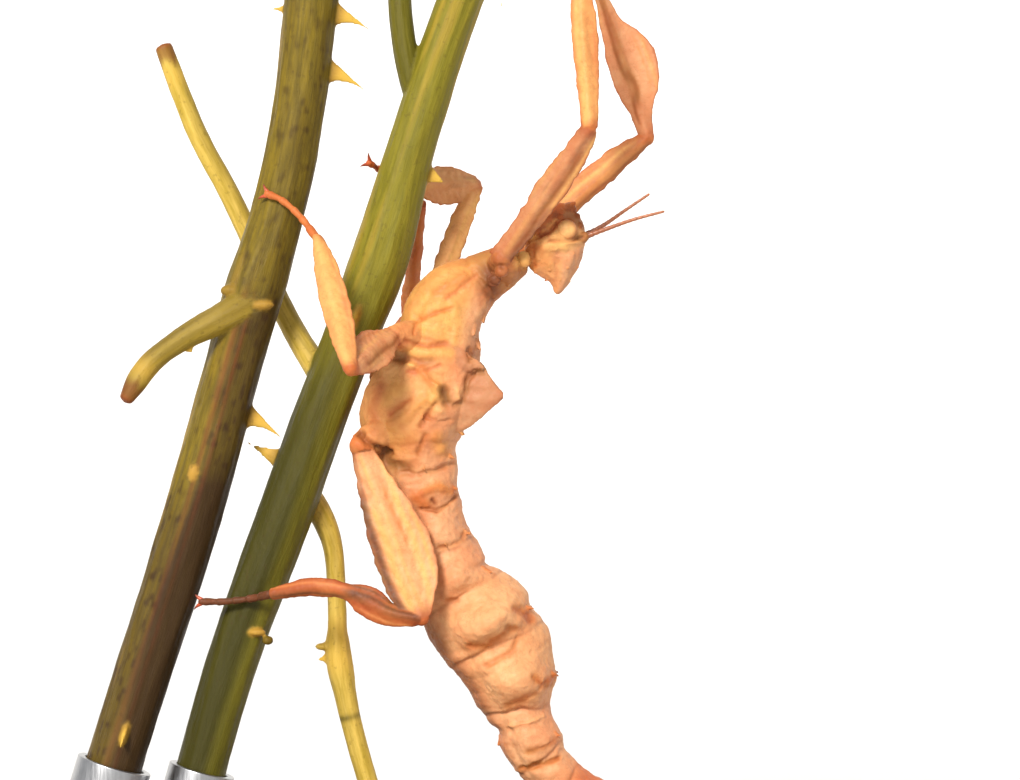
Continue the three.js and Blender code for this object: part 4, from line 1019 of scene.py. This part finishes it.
class Nodes:
    """Builds one material's node tree."""

    def __init__(self, name):
        self.material = bpy.data.materials.new(name)
        self.material.use_nodes = True
        self.tree = self.material.node_tree
        self.shader = self.tree.nodes["Principled BSDF"]

    def fill(self, socket, value):
        """Links an output to a socket, or sets the socket to a plain value."""
        if isinstance(value, bpy.types.NodeSocket):
            self.tree.links.new(value, socket)
        else:
            socket.default_value = value

    def add(self, kind, *inputs, **settings):
        """A node with its first inputs filled, where None leaves one as it is."""
        node = self.tree.nodes.new(kind)
        for key, value in settings.items():
            setattr(node, key, value)
        for socket, value in zip(node.inputs, inputs):
            if value is not None:
                self.fill(socket, value)
        return node

    def mix(self, share, low, high):
        node = self.add("ShaderNodeMix", share, data_type="RGBA")
        self.fill(node.inputs[6], low)
        self.fill(node.inputs[7], high)
        return node.outputs[2]

    def cover(self, colour, share, strength, other):
        """Lays another colour over this one."""
        return self.mix(self.math("MULTIPLY", share, strength), colour, other)

    def math(self, operation, a, b=0.5):
        return self.add("ShaderNodeMath", a, b, operation=operation).outputs[0]

    def spread(self, value, low, high, to_low=0.0, to_high=1.0):
        return self.add("ShaderNodeMapRange", value, low, high, to_low, to_high).outputs[0]

    def noise(self, where, scale, detail=4.0, rough=0.55):
        return self.add("ShaderNodeTexNoise", where, None, scale, detail, rough).outputs[0]

    def place(self):
        return self.add("ShaderNodeTexCoord").outputs["Object"]

    def stretch(self, where, share):
        return self.add("ShaderNodeVectorMath", where, share, operation="MULTIPLY").outputs[0]

    def tints(self):
        tint = self.add("ShaderNodeAttribute", attribute_name="tint")
        split = self.add("ShaderNodeSeparateColor", tint.outputs["Color"])
        return [*split.outputs, tint.outputs["Alpha"]]

    def bump(self, height, strength, distance):
        node = self.add("ShaderNodeBump", strength, distance)
        self.fill(node.inputs["Height"], height)
        self.fill(self.shader.inputs["Normal"], node.outputs[0])

    def set(self, **inputs):
        for key, value in inputs.items():
            self.fill(self.shader.inputs[key.replace("_", " ")], value)


def srgb(red, green, blue):
    """A colour given as it looks on screen, 0 to 255, as Blender wants it."""
    def line(v):
        v /= 255
        return v / 12.92 if v <= 0.04045 else ((v + 0.055) / 1.055)**2.4
    return (line(red), line(green), line(blue), 1.0)


def cuticle():
    """Dry-leaf skin: orange to straw yellow, rose towards the back, rust at the joints."""
    n = Nodes("cuticle")
    where = n.place()
    dark, red, pale, pink = n.tints()
    blotch = n.spread(n.noise(where, 230, 5), 0.38, 0.62)
    fleck = n.spread(n.noise(where, 900, 4), 0.42, 0.64)
    colour = n.mix(blotch, srgb(205, 124, 62), srgb(207, 146, 74))
    rose = n.mix(blotch, srgb(212, 146, 104), srgb(220, 162, 120))
    colour = n.cover(colour, pink, 0.8, rose)
    colour = n.cover(colour, pale, 0.85, srgb(224, 172, 96))
    colour = n.cover(colour, fleck, 0.25, srgb(188, 104, 56))
    rust = n.mix(blotch, srgb(170, 72, 30), srgb(192, 94, 42))
    colour = n.cover(colour, red, 0.85, rust)
    shadow = n.mix(fleck, srgb(56, 24, 13), srgb(88, 42, 24))
    colour = n.cover(colour, dark, 0.9, shadow)
    away = n.math("ABSOLUTE", n.math("SUBTRACT", n.noise(where, 420, 4, 0.6), 0.5))
    crack = n.spread(away, 0.0, 0.014, 0.22, 0.0)
    colour = n.mix(crack, colour, srgb(150, 78, 42))
    fine = n.noise(where, 2600, 3)
    n.bump(n.math("ADD", n.math("MULTIPLY", fine, 0.4), n.noise(where, 1100, 4)), 0.35, 0.00014)
    n.set(Base_Color=colour, Roughness=n.spread(fine, 0.3, 0.7, 0.5, 0.68))
    n.set(Subsurface_Weight=0.06, Subsurface_Scale=0.001, Subsurface_Radius=(1.0, 0.4, 0.15))
    n.set(Specular_IOR_Level=0.3)
    return n.material


def finish_piece(piece, material, slot, *nodes):
    """Gives a piece its material, parents it to the root and hides the nodes that it stands for; slot is not
    used.
    """
    piece.data.materials.clear()
    piece.data.materials.append(material)
    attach(piece, "root")
    if nodes:
        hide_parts(*nodes)


# ---------------------------------------------------------------- the insect

FLESH = ["head", "prothorax", "mesothorax", "metathorax", "tail"]
FLESH += [f"abdomen_{i}" for i in range(2, 9)]
FLESH += [f"{leg}_{limb}" for leg in LEGS for limb in ("coxa", "femur", "tibia", "foot")]


def build_insect():
    clay = Clay()
    build_trunk(clay)
    build_head(clay)
    for i, name in enumerate(LEGS):
        build_leg(clay, name, 50 + 10 * i)
    skin = fuse("insect_skin", clay, SKIN_VOXEL, 2, skin_detail)
    finish_piece(skin, cuticle(), "cuticle", *FLESH)


# ---------------------------------------------------------------- rose stems

CANES = {
    "stem_left": (
        Path((-35.4, 0, 14), (-29.7, 0, 32.5), (-21.9, 0, 57.5), (-16, 0, 79), (-11.4, 0, 95), (-9.3, 0, 106),
             (-6.8, 0, 127.5)),
        through(
            (0, 3.5), (0.28, 3.6), (0.42, 3.6), (0.56, 3.6), (0.62, 3.8), (0.67, 3.5), (0.75, 3.3), (1, 3.3)),
    ),
    "stem_front": (
        Path((-24.4, 2.5, 13), (-17.6, 2.5, 37.3), (-10.4, 2.5, 57.4), (-5.8, 2.5, 70), (0.8, 2.5, 87.5),
             (5, 2.5, 102.5), (11, 2.5, 120.3), (19.6, 2.5, 140.5)),
        through((0, 3), (0.3, 3.4), (0.5, 3.4), (0.58, 3.7), (0.68, 3.1), (1, 2.4)),
    ),
    "stem_fork": (
        Path((7.2, 2.5, 104), (4.9, 2.6, 110.2), (3.7, 3, 116.5), (3, 5, 128.1)),
        through((0, 1.8), (0.4, 1.5), (1, 1.45)),
    ),
    "twig_upper_left": (
        Path((-6.8, 3.4, 73.5), (-11, 6, 80.4), (-17.8, 6.4, 95), (-22.5, 5.9, 104), (-26.8, 6, 115.1)),
        through((0, 1.6), (0.2, 1.45), (0.5, 1.35), (0.9, 1.2), (1, 1.1)),
    ),
    "twig_lower_left": (
        Path((-14.2, -1, 82.6), (-18.1, -3, 80.4), (-23.6, -4, 77.4), (-27.4, -5, 74.3), (-30.3, -6.2, 69.7)),
        through((0, 2.3), (0.25, 1.9), (0.6, 1.35), (0.85, 1.35), (1, 0.8)),
    ),
    "twig_right": (
        Path((-10.8, 3, 60.5), (-7.2, 5, 56.4), (-5.3, 5.7, 52), (-4.65, 5.8, 44), (-4.5, 5.6, 38.3),
             (-3.5, 5.2, 32.4), (-2.2, 4.9, 26.9), (1, 4, 16.3)),
        through(
            (0, 1.8), (0.12, 1.6), (0.25, 1.3), (0.45, 1.2), (0.5, 1.5), (0.57, 1.6), (0.65, 1.35), (1, 1.2)),
    ),
}
# Prickles: place on the cane, degrees round it (0 left, 180 right, -90 to the viewer), length,
# half length of the foot, and droop.
PRICKLES = {
    "stem_left": [
        (0.923, 0, 2.1, 0.9, 0.1), (0.923, 180, 4.7, 1.8, 0.35), (0.862, 180, 5, 1.8, 0.42),
        (0.488, 180, 5, 1.8, 0.35), (0.13, -95, 3.4, 1.9, 0.7),
    ],
    "stem_front": [
        (0.672, 180, 3.6, 1.6, 0.3), (0.522, -85, 3.2, 2.6, 0.6), (0.378, 10, 6, 1.5, -0.15),
        (0.862, 170, 2.9, 1.4, 0.9),
    ],
    "twig_lower_left": [(0.5, 0, 1.6, 1.1, 0.4)],
    "twig_right": [(0.535, 180, 1.9, 1.3, -0.1)],
}
PRICKLE = dict(flatness=0.32, sink=0.6)
# Scars and swellings on the canes: middle, radii, and tint.
SCARS = {
    "old_cane": [
        ((-21.9, -2.9, 60.9), (0.8, 0.7, 1.2), (0, 0.35, 0.9, 0)),
        ((-13.6, -3.2, 81.8), (1.6, 0.7, 0.6), (0, 0.3, 0.6, 0)),
        ((-17.4, -2.3, 83.6), (1.4, 1, 0.8), (0.25, 0.1, 0.3, 0)),
    ],
    "green_cane": [
        ((-14.3, -0.6, 41), (1.1, 0.7, 0.5), (0, 0.4, 0.9, 0)),
        ((-13, -0.6, 40), (0.7, 0.7, 0.6), (0.4, 0.3, 0, 0)),
        ((-6.4, 5.4, 38.8), (1.0, 0.8, 0.5), (0.1, 0.1, 0.3, 1)),
    ],
}
NODE_HEIGHT = 83            # below this height the left stem is brown on its right side, its own bark and painted shade


def cane_section(path, radius, seed):
    """A cane with shallow ridges that run along it."""

    def section(t, a):
        r = radius(t)
        ring = np.stack([np.cos(a) * 2.2, np.sin(a) * 2.2, t * path.length * 0.05], -1)
        ridge = 0.06 * r * noise(ring, 0.8, seed) + 0.022 * r * noise(ring * [1.8, 1.8, 3], 0.7, seed + 1)
        r = (r + ridge) * dome(t, 0.1 / path.length, 0.5 / path.length)
        return r * np.cos(a), r * np.sin(a)

    return section


def cane_tint(name, path):
    """Dark, red, pale and young shares by place on a cane."""

    def old_stem(length, height, a, patch):
        """Brown on its right side below the fork, its own bark and painted shade, with a red line along the
        edge, and painted shade all over low down.
        """
        right = -np.cos(a)
        low = smoothstep(NODE_HEIGHT + 1.5, NODE_HEIGHT - 1.5, height)
        deep = smoothstep(66, 50, height)
        dark = low * smoothstep(-0.3, 0.02, right + patch * 0.12) * (0.72 + 0.28 * deep)
        dark = dark + 0.62 * deep + 0.15 * patch
        dark = dark + 0.5 * smoothstep(0.35, 0.6, noise_round(a, -8, length * 0.8, 0.9, 77))
        # Above the fork the right side is painted a little darker: painted shade.
        dark = dark + (1 - low) * (0.08 + 0.2 * patch + 0.1 * smoothstep(0, 0.5, right))
        lines = 0.7 * bell(right, -0.22, 0.07) + 0.5 * bell(right, 0.1, 0.05)
        red = low * (1 - 0.6 * deep) * lines
        return dark, red, 0.25 * smoothstep(0.2, 0.7, patch) * smoothstep(0.2, -0.6, right), 0

    def green_stem(length, height, a, patch):
        # Painted shade: darker low down, less so on the right side.
        dark = smoothstep(88, 62, height) * (1 - 0.6 * smoothstep(0, 0.7, -np.cos(a))) + 0.15 * patch
        pale = 0.3 * smoothstep(0.1, 0.6, noise_round(a, -4, length * 0.05, 0.8, 73))
        return dark, 0, pale * smoothstep(70, 95, height), 0

    def twig(length, height, a, patch):
        # Painted shade on the right side, away from the light.
        dark = 0.3 * smoothstep(0.1, 0.9, -np.cos(a)) + 0.25 * smoothstep(0.3, 0.6, patch)
        if name == "twig_right":
            dark = dark + 0.7 * bell(height, 29.9, 0.35)
            return dark, 0, 0.5 * window(height, 34, 37, 41, 44), 1
        dead = smoothstep(path.length - 3.2, path.length - 1.8, length + patch)
        young = 0.35 if name == "twig_lower_left" else 1
        return dark + 0.4 * dead, 0.6 * dead, 0.5 * bell(length, path.length - 4.5, 1.5), young

    kinds = {
        "stem_left": old_stem, "stem_front": green_stem,
        "stem_fork": lambda length, height, a, patch: (0.45 + 0.2 * patch, 0, 0, 0),
    }

    def tint(t, a):
        length = t * path.length
        patch = noise_round(a, 3, length * 0.12, 1.2, 71)
        dark, red, pale, young = kinds.get(name, twig)(length, path.at(t)[..., 2], a, patch)
        cut = smoothstep(path.length - 1.0, path.length - 0.2, length)
        return np.clip(vectors(dark, red + 0.5 * cut, pale + 0.3 * cut, young), 0, 1)

    return tint


def prickle(clay, path, section, place, degrees, length, foot, droop):
    """A horn that is wide along the cane and flat across it."""
    root, out, along = skin_point(path, section, place, degrees)
    root = root - out * PRICKLE["sink"]
    tip = root + out * (length + PRICKLE["sink"]) - along * droop * length
    bow = bezier(root, root + out * length * 0.5, tip)

    def horn(t, a):
        size = foot * (np.clip(1 - t, 0, 1)**1.9 * 0.85 + 0.35 * np.exp(-t / 0.09) + 0.03)
        return size * np.cos(a), np.maximum(size * PRICKLE["flatness"], 0.05) * np.sin(a)

    sweep(clay, bow, horn, *GRID["prickle"], face=np.cross(along, out), tint=lambda t, a: vectors(
        0.1 * smoothstep(0.3, 0.1, t), 0.8 * smoothstep(0.7, 1, t) + 0.35 * smoothstep(0.35, 0.15, t),
        smoothstep(0.05, 0.3, t), 0.5))


def build_canes(piece_name, names, material, slot):
    clay = Clay()
    for i, name in enumerate(names):
        path, radius = CANES[name]
        section = cane_section(path, radius, 60 + 3 * i)
        steps, sides = int(path.length * CANE_STEPS), CANE_SIDES[name.split("_")[0]]
        sweep(clay, path, section, steps, sides, tint=cane_tint(name, path))
        for prickle_row in PRICKLES.get(name, []):
            prickle(clay, path, section, *prickle_row)
    for middle, radii, tint in SCARS[piece_name]:
        ball(clay, middle, radii, tint=tint)
    piece = fuse(piece_name, clay, BARK_VOXEL, 1, bark_detail)
    finish_piece(piece, material, slot, *names)


def bark_detail(points, normals, tints, _):
    rough = 0.02 * noise(points * [1, 1, 0.35], 0.5, 81) + 0.035 * noise(points * [1, 1, 0.3], 1.3, 82)
    return points + normals * rough[:, None], tints


def bark(name, lit, shade, worn):
    """Bark with fibres along the cane, lit and worn, and the shade's colour where it is dark."""
    n = Nodes(name)
    where = n.place()
    lie = n.add("ShaderNodeAttribute", attribute_name="grain").outputs["Vector"]
    stretched = n.stretch(lie, (1, 1, 0.09))
    dark, red, pale, young = n.tints()
    fibre = n.noise(stretched, 2.2, 5)
    colour = n.mix(n.spread(fibre, 0.38, 0.62), lit, worn)
    colour = n.mix(young, colour, n.mix(n.spread(fibre, 0.35, 0.65), srgb(174, 146, 52), srgb(206, 174, 82)))
    colour = n.cover(colour, dark, 0.92, shade)
    colour = n.cover(colour, pale, 0.9, srgb(206, 164, 66))
    colour = n.cover(colour, red, 0.85, srgb(122, 52, 26))
    speck = n.spread(n.noise(where, 1500, 3), 0.6, 0.68)
    colour = n.cover(colour, speck, 0.25, srgb(66, 46, 18))
    grit = n.math("MULTIPLY", n.noise(where, 1800, 3), 0.4)
    n.bump(n.math("ADD", n.noise(stretched, 5.5, 4), grit), 0.4, 0.0002)
    n.set(Base_Color=colour, Roughness=n.spread(fibre, 0.3, 0.7, 0.42, 0.62), Specular_IOR_Level=0.2)
    return n.material


def build_perch():
    old = bark("old_bark", srgb(120, 100, 22), srgb(50, 30, 12), srgb(98, 82, 22))
    green = bark("green_bark", srgb(110, 102, 22), srgb(48, 45, 6), srgb(126, 116, 30))
    build_canes("old_cane", ["stem_left", "twig_lower_left"], old, "old_stem")
    build_canes(
        "green_cane", ["stem_front", "stem_fork", "twig_upper_left", "twig_right"], green, "green_stem")


# ---------------------------------------------------------------- display stand

BASE = dict(width=84, depth=62, height=6, corner=9, edge=1.2)
ROD = dict(radius=1.6, wall=0.9, depth=11, floor=1.4, gap=0.3, edge=0.15, sides=72)


def plain_mesh(name, clay, edge):
    """An object in metres from shells, with its sharp edges rounded."""
    piece = link(name, clay.mesh(name, MM))
    bevel = piece.modifiers.new("edge", "BEVEL")
    bevel.width, bevel.segments, bevel.limit_method = edge * MM, 4, "ANGLE"
    return piece


def wood():
    n = Nodes("dark_oak")
    stretched = n.stretch(n.place(), (0.08, 1, 1))
    fibre = n.noise(stretched, 900, 6)
    band = n.noise(stretched, 160, 3)
    colour = n.mix(n.spread(band, 0.35, 0.65), srgb(66, 44, 30), srgb(98, 68, 45))
    colour = n.cover(colour, n.spread(fibre, 0.45, 0.7), 0.6, srgb(46, 30, 20))
    n.bump(fibre, 0.25, 0.0002)
    n.set(Base_Color=colour, Roughness=n.spread(fibre, 0.3, 0.7, 0.35, 0.55))
    return n.material


def steel():
    n = Nodes("satin_steel")
    brush = n.noise(n.stretch(n.place(), (1, 1, 0.05)), 4000, 4)
    n.bump(brush, 0.12, 0.0001)
    n.set(Base_Color=n.mix(brush, srgb(150, 151, 153), srgb(190, 191, 194)), Metallic=1.0)
    n.set(Roughness=n.spread(brush, 0.3, 0.7, 0.28, 0.42))
    return n.material


def build_base():
    half = np.array([BASE["width"], BASE["depth"]]) / 2
    quarter = np.linspace(0, np.pi / 2, 13)
    outline = []
    for i, (sx, sy) in enumerate(((1, 1), (-1, 1), (-1, -1), (1, -1))):
        turn = quarter + i * np.pi / 2
        corner = (half - BASE["corner"]) * (sx, sy)
        outline.append(corner + BASE["corner"] * np.stack([np.cos(turn), np.sin(turn)], -1))
    outline = np.vstack(outline)
    grid = np.stack([np.column_stack([outline, np.full(len(outline), z)]) for z in (0, BASE["height"])])
    clay = Clay()
    clay.shell(grid, (0, 0, 0), (0, 0, BASE["height"]), (0, 0, 0, 0), np.zeros(grid.shape))
    finish_piece(plain_mesh("stand_plate", clay, BASE["edge"]), wood(), "stand_wood", "stand_base")


def build_rod(name, cane, material):
    """A rod that ends in a sleeve round the lower end of a cane."""
    path, radius = CANES[cane]
    start = np.array([0.0])
    foot, way = path.at(start)[0], path.along(start)[0]
    inner = float(radius(start)[0]) + ROD["gap"]
    outer = inner + ROD["wall"]
    low = -ROD["floor"] - ROD["gap"]
    profile = [(0.01, low), (outer, low), (outer, ROD["depth"]), (inner, ROD["depth"]), (inner, -ROD["gap"]),
               (0.01, -ROD["gap"])]
    turn = np.arange(ROD["sides"]) * 2 * np.pi / ROD["sides"]
    side = np.cross(FAR, way)
    ring = np.cos(turn)[:, None] * side + np.sin(turn)[:, None] * np.cross(way, side)
    grid = np.stack([foot + way * h + ring * r for r, h in profile])
    clay = Clay()
    clay.shell(grid, grid[0].mean(0), grid[-1].mean(0), (0, 0, 0, 0), np.zeros(grid.shape))
    floor_point = foot + way * (low / 2)
    top = floor_point[2] + 0.5
    post = np.stack([np.column_stack([
        floor_point[0] + ROD["radius"] * np.cos(turn), floor_point[1] + ROD["radius"] * np.sin(turn),
        np.full(ROD["sides"], z)]) for z in (BASE["height"] + ROD["gap"], top)])
    clay.shell(post, post[0].mean(0), post[-1].mean(0), (0, 0, 0, 0), np.zeros(post.shape))
    node = name.replace("sleeve", "stand_rod")
    finish_piece(plain_mesh(name, clay, ROD["edge"]), material, "stand_steel", node)


def build_stand():
    build_base()
    metal = steel()
    build_rod("sleeve_left", "stem_left", metal)
    build_rod("sleeve_front", "stem_front", metal)


# ---------------------------------------------------------------- eyes, feelers and claws

def small_piece(name, clay, material, slot, *nodes):
    """A piece made of its shells as they are, in metres."""
    mesh = clay.mesh(name, MM)
    paint = np.vstack(clay.paint)
    write_paint(mesh, paint[:, :4], paint[:, 4:7])
    finish_piece(link(name, mesh), material, slot, *nodes)


def eye_material():
    n = Nodes("compound_eye")
    where = n.place()
    facet = n.add("ShaderNodeTexVoronoi", where, None, 9000.0)
    rim, *_ = n.tints()
    blotch = n.spread(n.noise(where, 900, 4), 0.42, 0.6)
    colour = n.mix(n.math("MULTIPLY", blotch, 0.5), srgb(226, 172, 108), srgb(196, 128, 76))
    # Painted shade towards the rim.
    colour = n.mix(rim, colour, srgb(178, 100, 56))
    n.bump(facet.outputs["Distance"], 0.35, 0.00006)
    n.set(Base_Color=colour, Roughness=0.34, Specular_IOR_Level=0.2)
    return n.material


def horn_material(name, root, tip):
    n = Nodes(name)
    dark, *_, young = n.tints()
    mottle = n.noise(n.place(), 2200, 4)
    colour = n.mix(young, root, tip)
    colour = n.cover(colour, n.spread(mottle, 0.4, 0.65), 0.4, srgb(92, 48, 28))
    colour = n.cover(colour, dark, 0.7, srgb(60, 30, 18))
    n.bump(mottle, 0.3, 0.00005)
    n.set(Base_Color=colour, Roughness=n.spread(mottle, 0.3, 0.7, 0.28, 0.45))
    return n.material


def eye_tint(t, a):
    """Dark towards the rim: painted shade."""
    rise = 2 * np.sqrt(np.clip(t * (1 - t), 0, 1)) * np.abs(np.sin(a))
    rim = 0.7 * smoothstep(0.9, 0.25, rise)
    return vectors(rim, 0, 0, 0)


def build_eyes():
    material = eye_material()
    for hand, side in ((-1, "left"), (1, "right")):
        clay = Clay()
        x, y, z = EYE["place"]
        ball(clay, (x, hand * y, z), EYE["radii"], tint=eye_tint, grid=GRID["eye"])
        small_piece(f"eye_ball_{side}", clay, material, "eye", f"eye_{side}")


def build_feelers():
    material = horn_material("feeler_horn", srgb(150, 84, 50), srgb(176, 104, 60))
    paths = {
        "left": Path((25.6, -0.95, 90), (29.2, -1.2, 91.3), (32.7, -1.6, 92.5), (36.5, -1.8, 93.5)),
        "right": Path((25.5, 0.95, 90.1), (28.8, 1.2, 91.8), (31.7, 1.8, 93.8), (34.8, 2, 95.9)),
    }
    joints = 16
    girth = through((0, 0.52), (0.1, 0.5), (0.16, 0.36), (0.4, 0.27), (1, 0.17))
    bead = lambda t: girth(t) * (0.86 + 0.2 * ((t * joints) % 1)) * dome(t, 0.01, 0.03)
    for side, path in paths.items():
        clay = Clay()
        sweep(clay, path, round_section(bead), *GRID["feeler"], tint=lambda t, a: vectors(
            0.6 * smoothstep(0.14, 0.02, t) + 0.35 * (((t * joints) % 1) < 0.12), 0, 0, t))
        small_piece(f"feeler_{side}", clay, material, "feeler", f"antenna_{side}")


CLAW_LENGTH = 1.75


def build_claws():
    material = horn_material("claw_horn", srgb(200, 84, 48), srgb(112, 46, 26))
    size = through((0, 0.3), (0.35, 0.27), (0.75, 0.14), (1, 0.03))
    t = np.array([0.97])
    for name, leg in LEGS.items():
        path = foot_path(leg)
        along, deep_way, wide_way = (v[0] for v in axes_of(path, t, FAR))
        centre = path.at(t)[0]
        clay = Clay()
        for hand in (-1, 1):
            way = along + wide_way * hand * 0.75 + deep_way * 0.15
            way /= np.linalg.norm(way)
            bow = bezier(centre, centre + way * 0.9 + along * 0.45, centre + way * CLAW_LENGTH)
            sweep(clay, bow, round_section(size), *GRID["claw"], face=deep_way,
                  tint=lambda t, a: vectors(0, 0, 0, smoothstep(0.4, 1, t)))
        small_piece(f"claws_{name}", clay, material, "foot_cuticle")


build_insect()
build_eyes()
build_feelers()
build_claws()
build_perch()
build_stand()

# ---------------------------------------------------------------- floor, light and camera

STAGE = dict(front=-2.5, bend=0.9, radius=0.7, top=2.6, half_width=3.0)    # metres
SKY_STRENGTH = 0.62
SUN = dict(energy=4.1, degrees=16, colour=(1.0, 0.965, 0.91), way=(0.3, 0.8, -0.52))


def build_stage():
    """A pale sheet that lies flat under the stand and curves up behind it."""
    turn = np.linspace(0, np.pi / 2, 25)
    profile = [(STAGE["front"], 0)]
    bend, radius = STAGE["bend"], STAGE["radius"]
    profile += [(bend + radius * math.sin(v), radius * (1 - math.cos(v))) for v in turn]
    profile.append((bend + radius, STAGE["top"]))
    points = [(x, y, z) for y, z in profile for x in (-STAGE["half_width"], STAGE["half_width"])]
    faces = [(i, i + 1, i + 3, i + 2) for i in range(0, len(points) - 2, 2)]
    mesh = bpy.data.meshes.new("floor")
    mesh.from_pydata(points, [], faces)
    floor = link("floor", mesh)
    n = Nodes("pale_paper")
    tone = n.mix(n.noise(n.place(), 30, 3), (0.73, 0.727, 0.72, 1), (0.76, 0.757, 0.75, 1))
    n.set(Base_Color=tone, Roughness=0.85)
    mesh.materials.append(n.material)


def build_lights():
    world = bpy.data.worlds.new("studio")
    bpy.context.scene.world = world
    world.use_nodes = True
    sky = world.node_tree.nodes["Background"].inputs
    sky["Color"].default_value = (1, 1, 1, 1)
    sky["Strength"].default_value = SKY_STRENGTH
    key = bpy.data.lights.new("key", "SUN")
    key.energy, key.angle, key.color = SUN["energy"], math.radians(SUN["degrees"]), SUN["colour"]
    lamp = add_object("key", key)
    lamp.rotation_euler = Vector(SUN["way"]).to_track_quat("-Z", "Y").to_euler()


def build_camera():
    lens = bpy.data.cameras.new("camera")
    lens.sensor_width = SENSOR
    lens.lens = SENSOR * VIEW_DISTANCE / VIEW_WIDTH
    lens.clip_start, lens.clip_end = 0.01, 20
    camera = add_object("camera", lens)
    camera.location = (VIEW_CENTRE[0] * MM, -VIEW_DISTANCE * MM, VIEW_CENTRE[1] * MM)
    camera.rotation_euler = (math.pi / 2, 0, 0)
    bpy.context.scene.camera = camera


build_stage()
build_lights()
build_camera()
bpy.context.scene.view_settings.view_transform = "Standard"
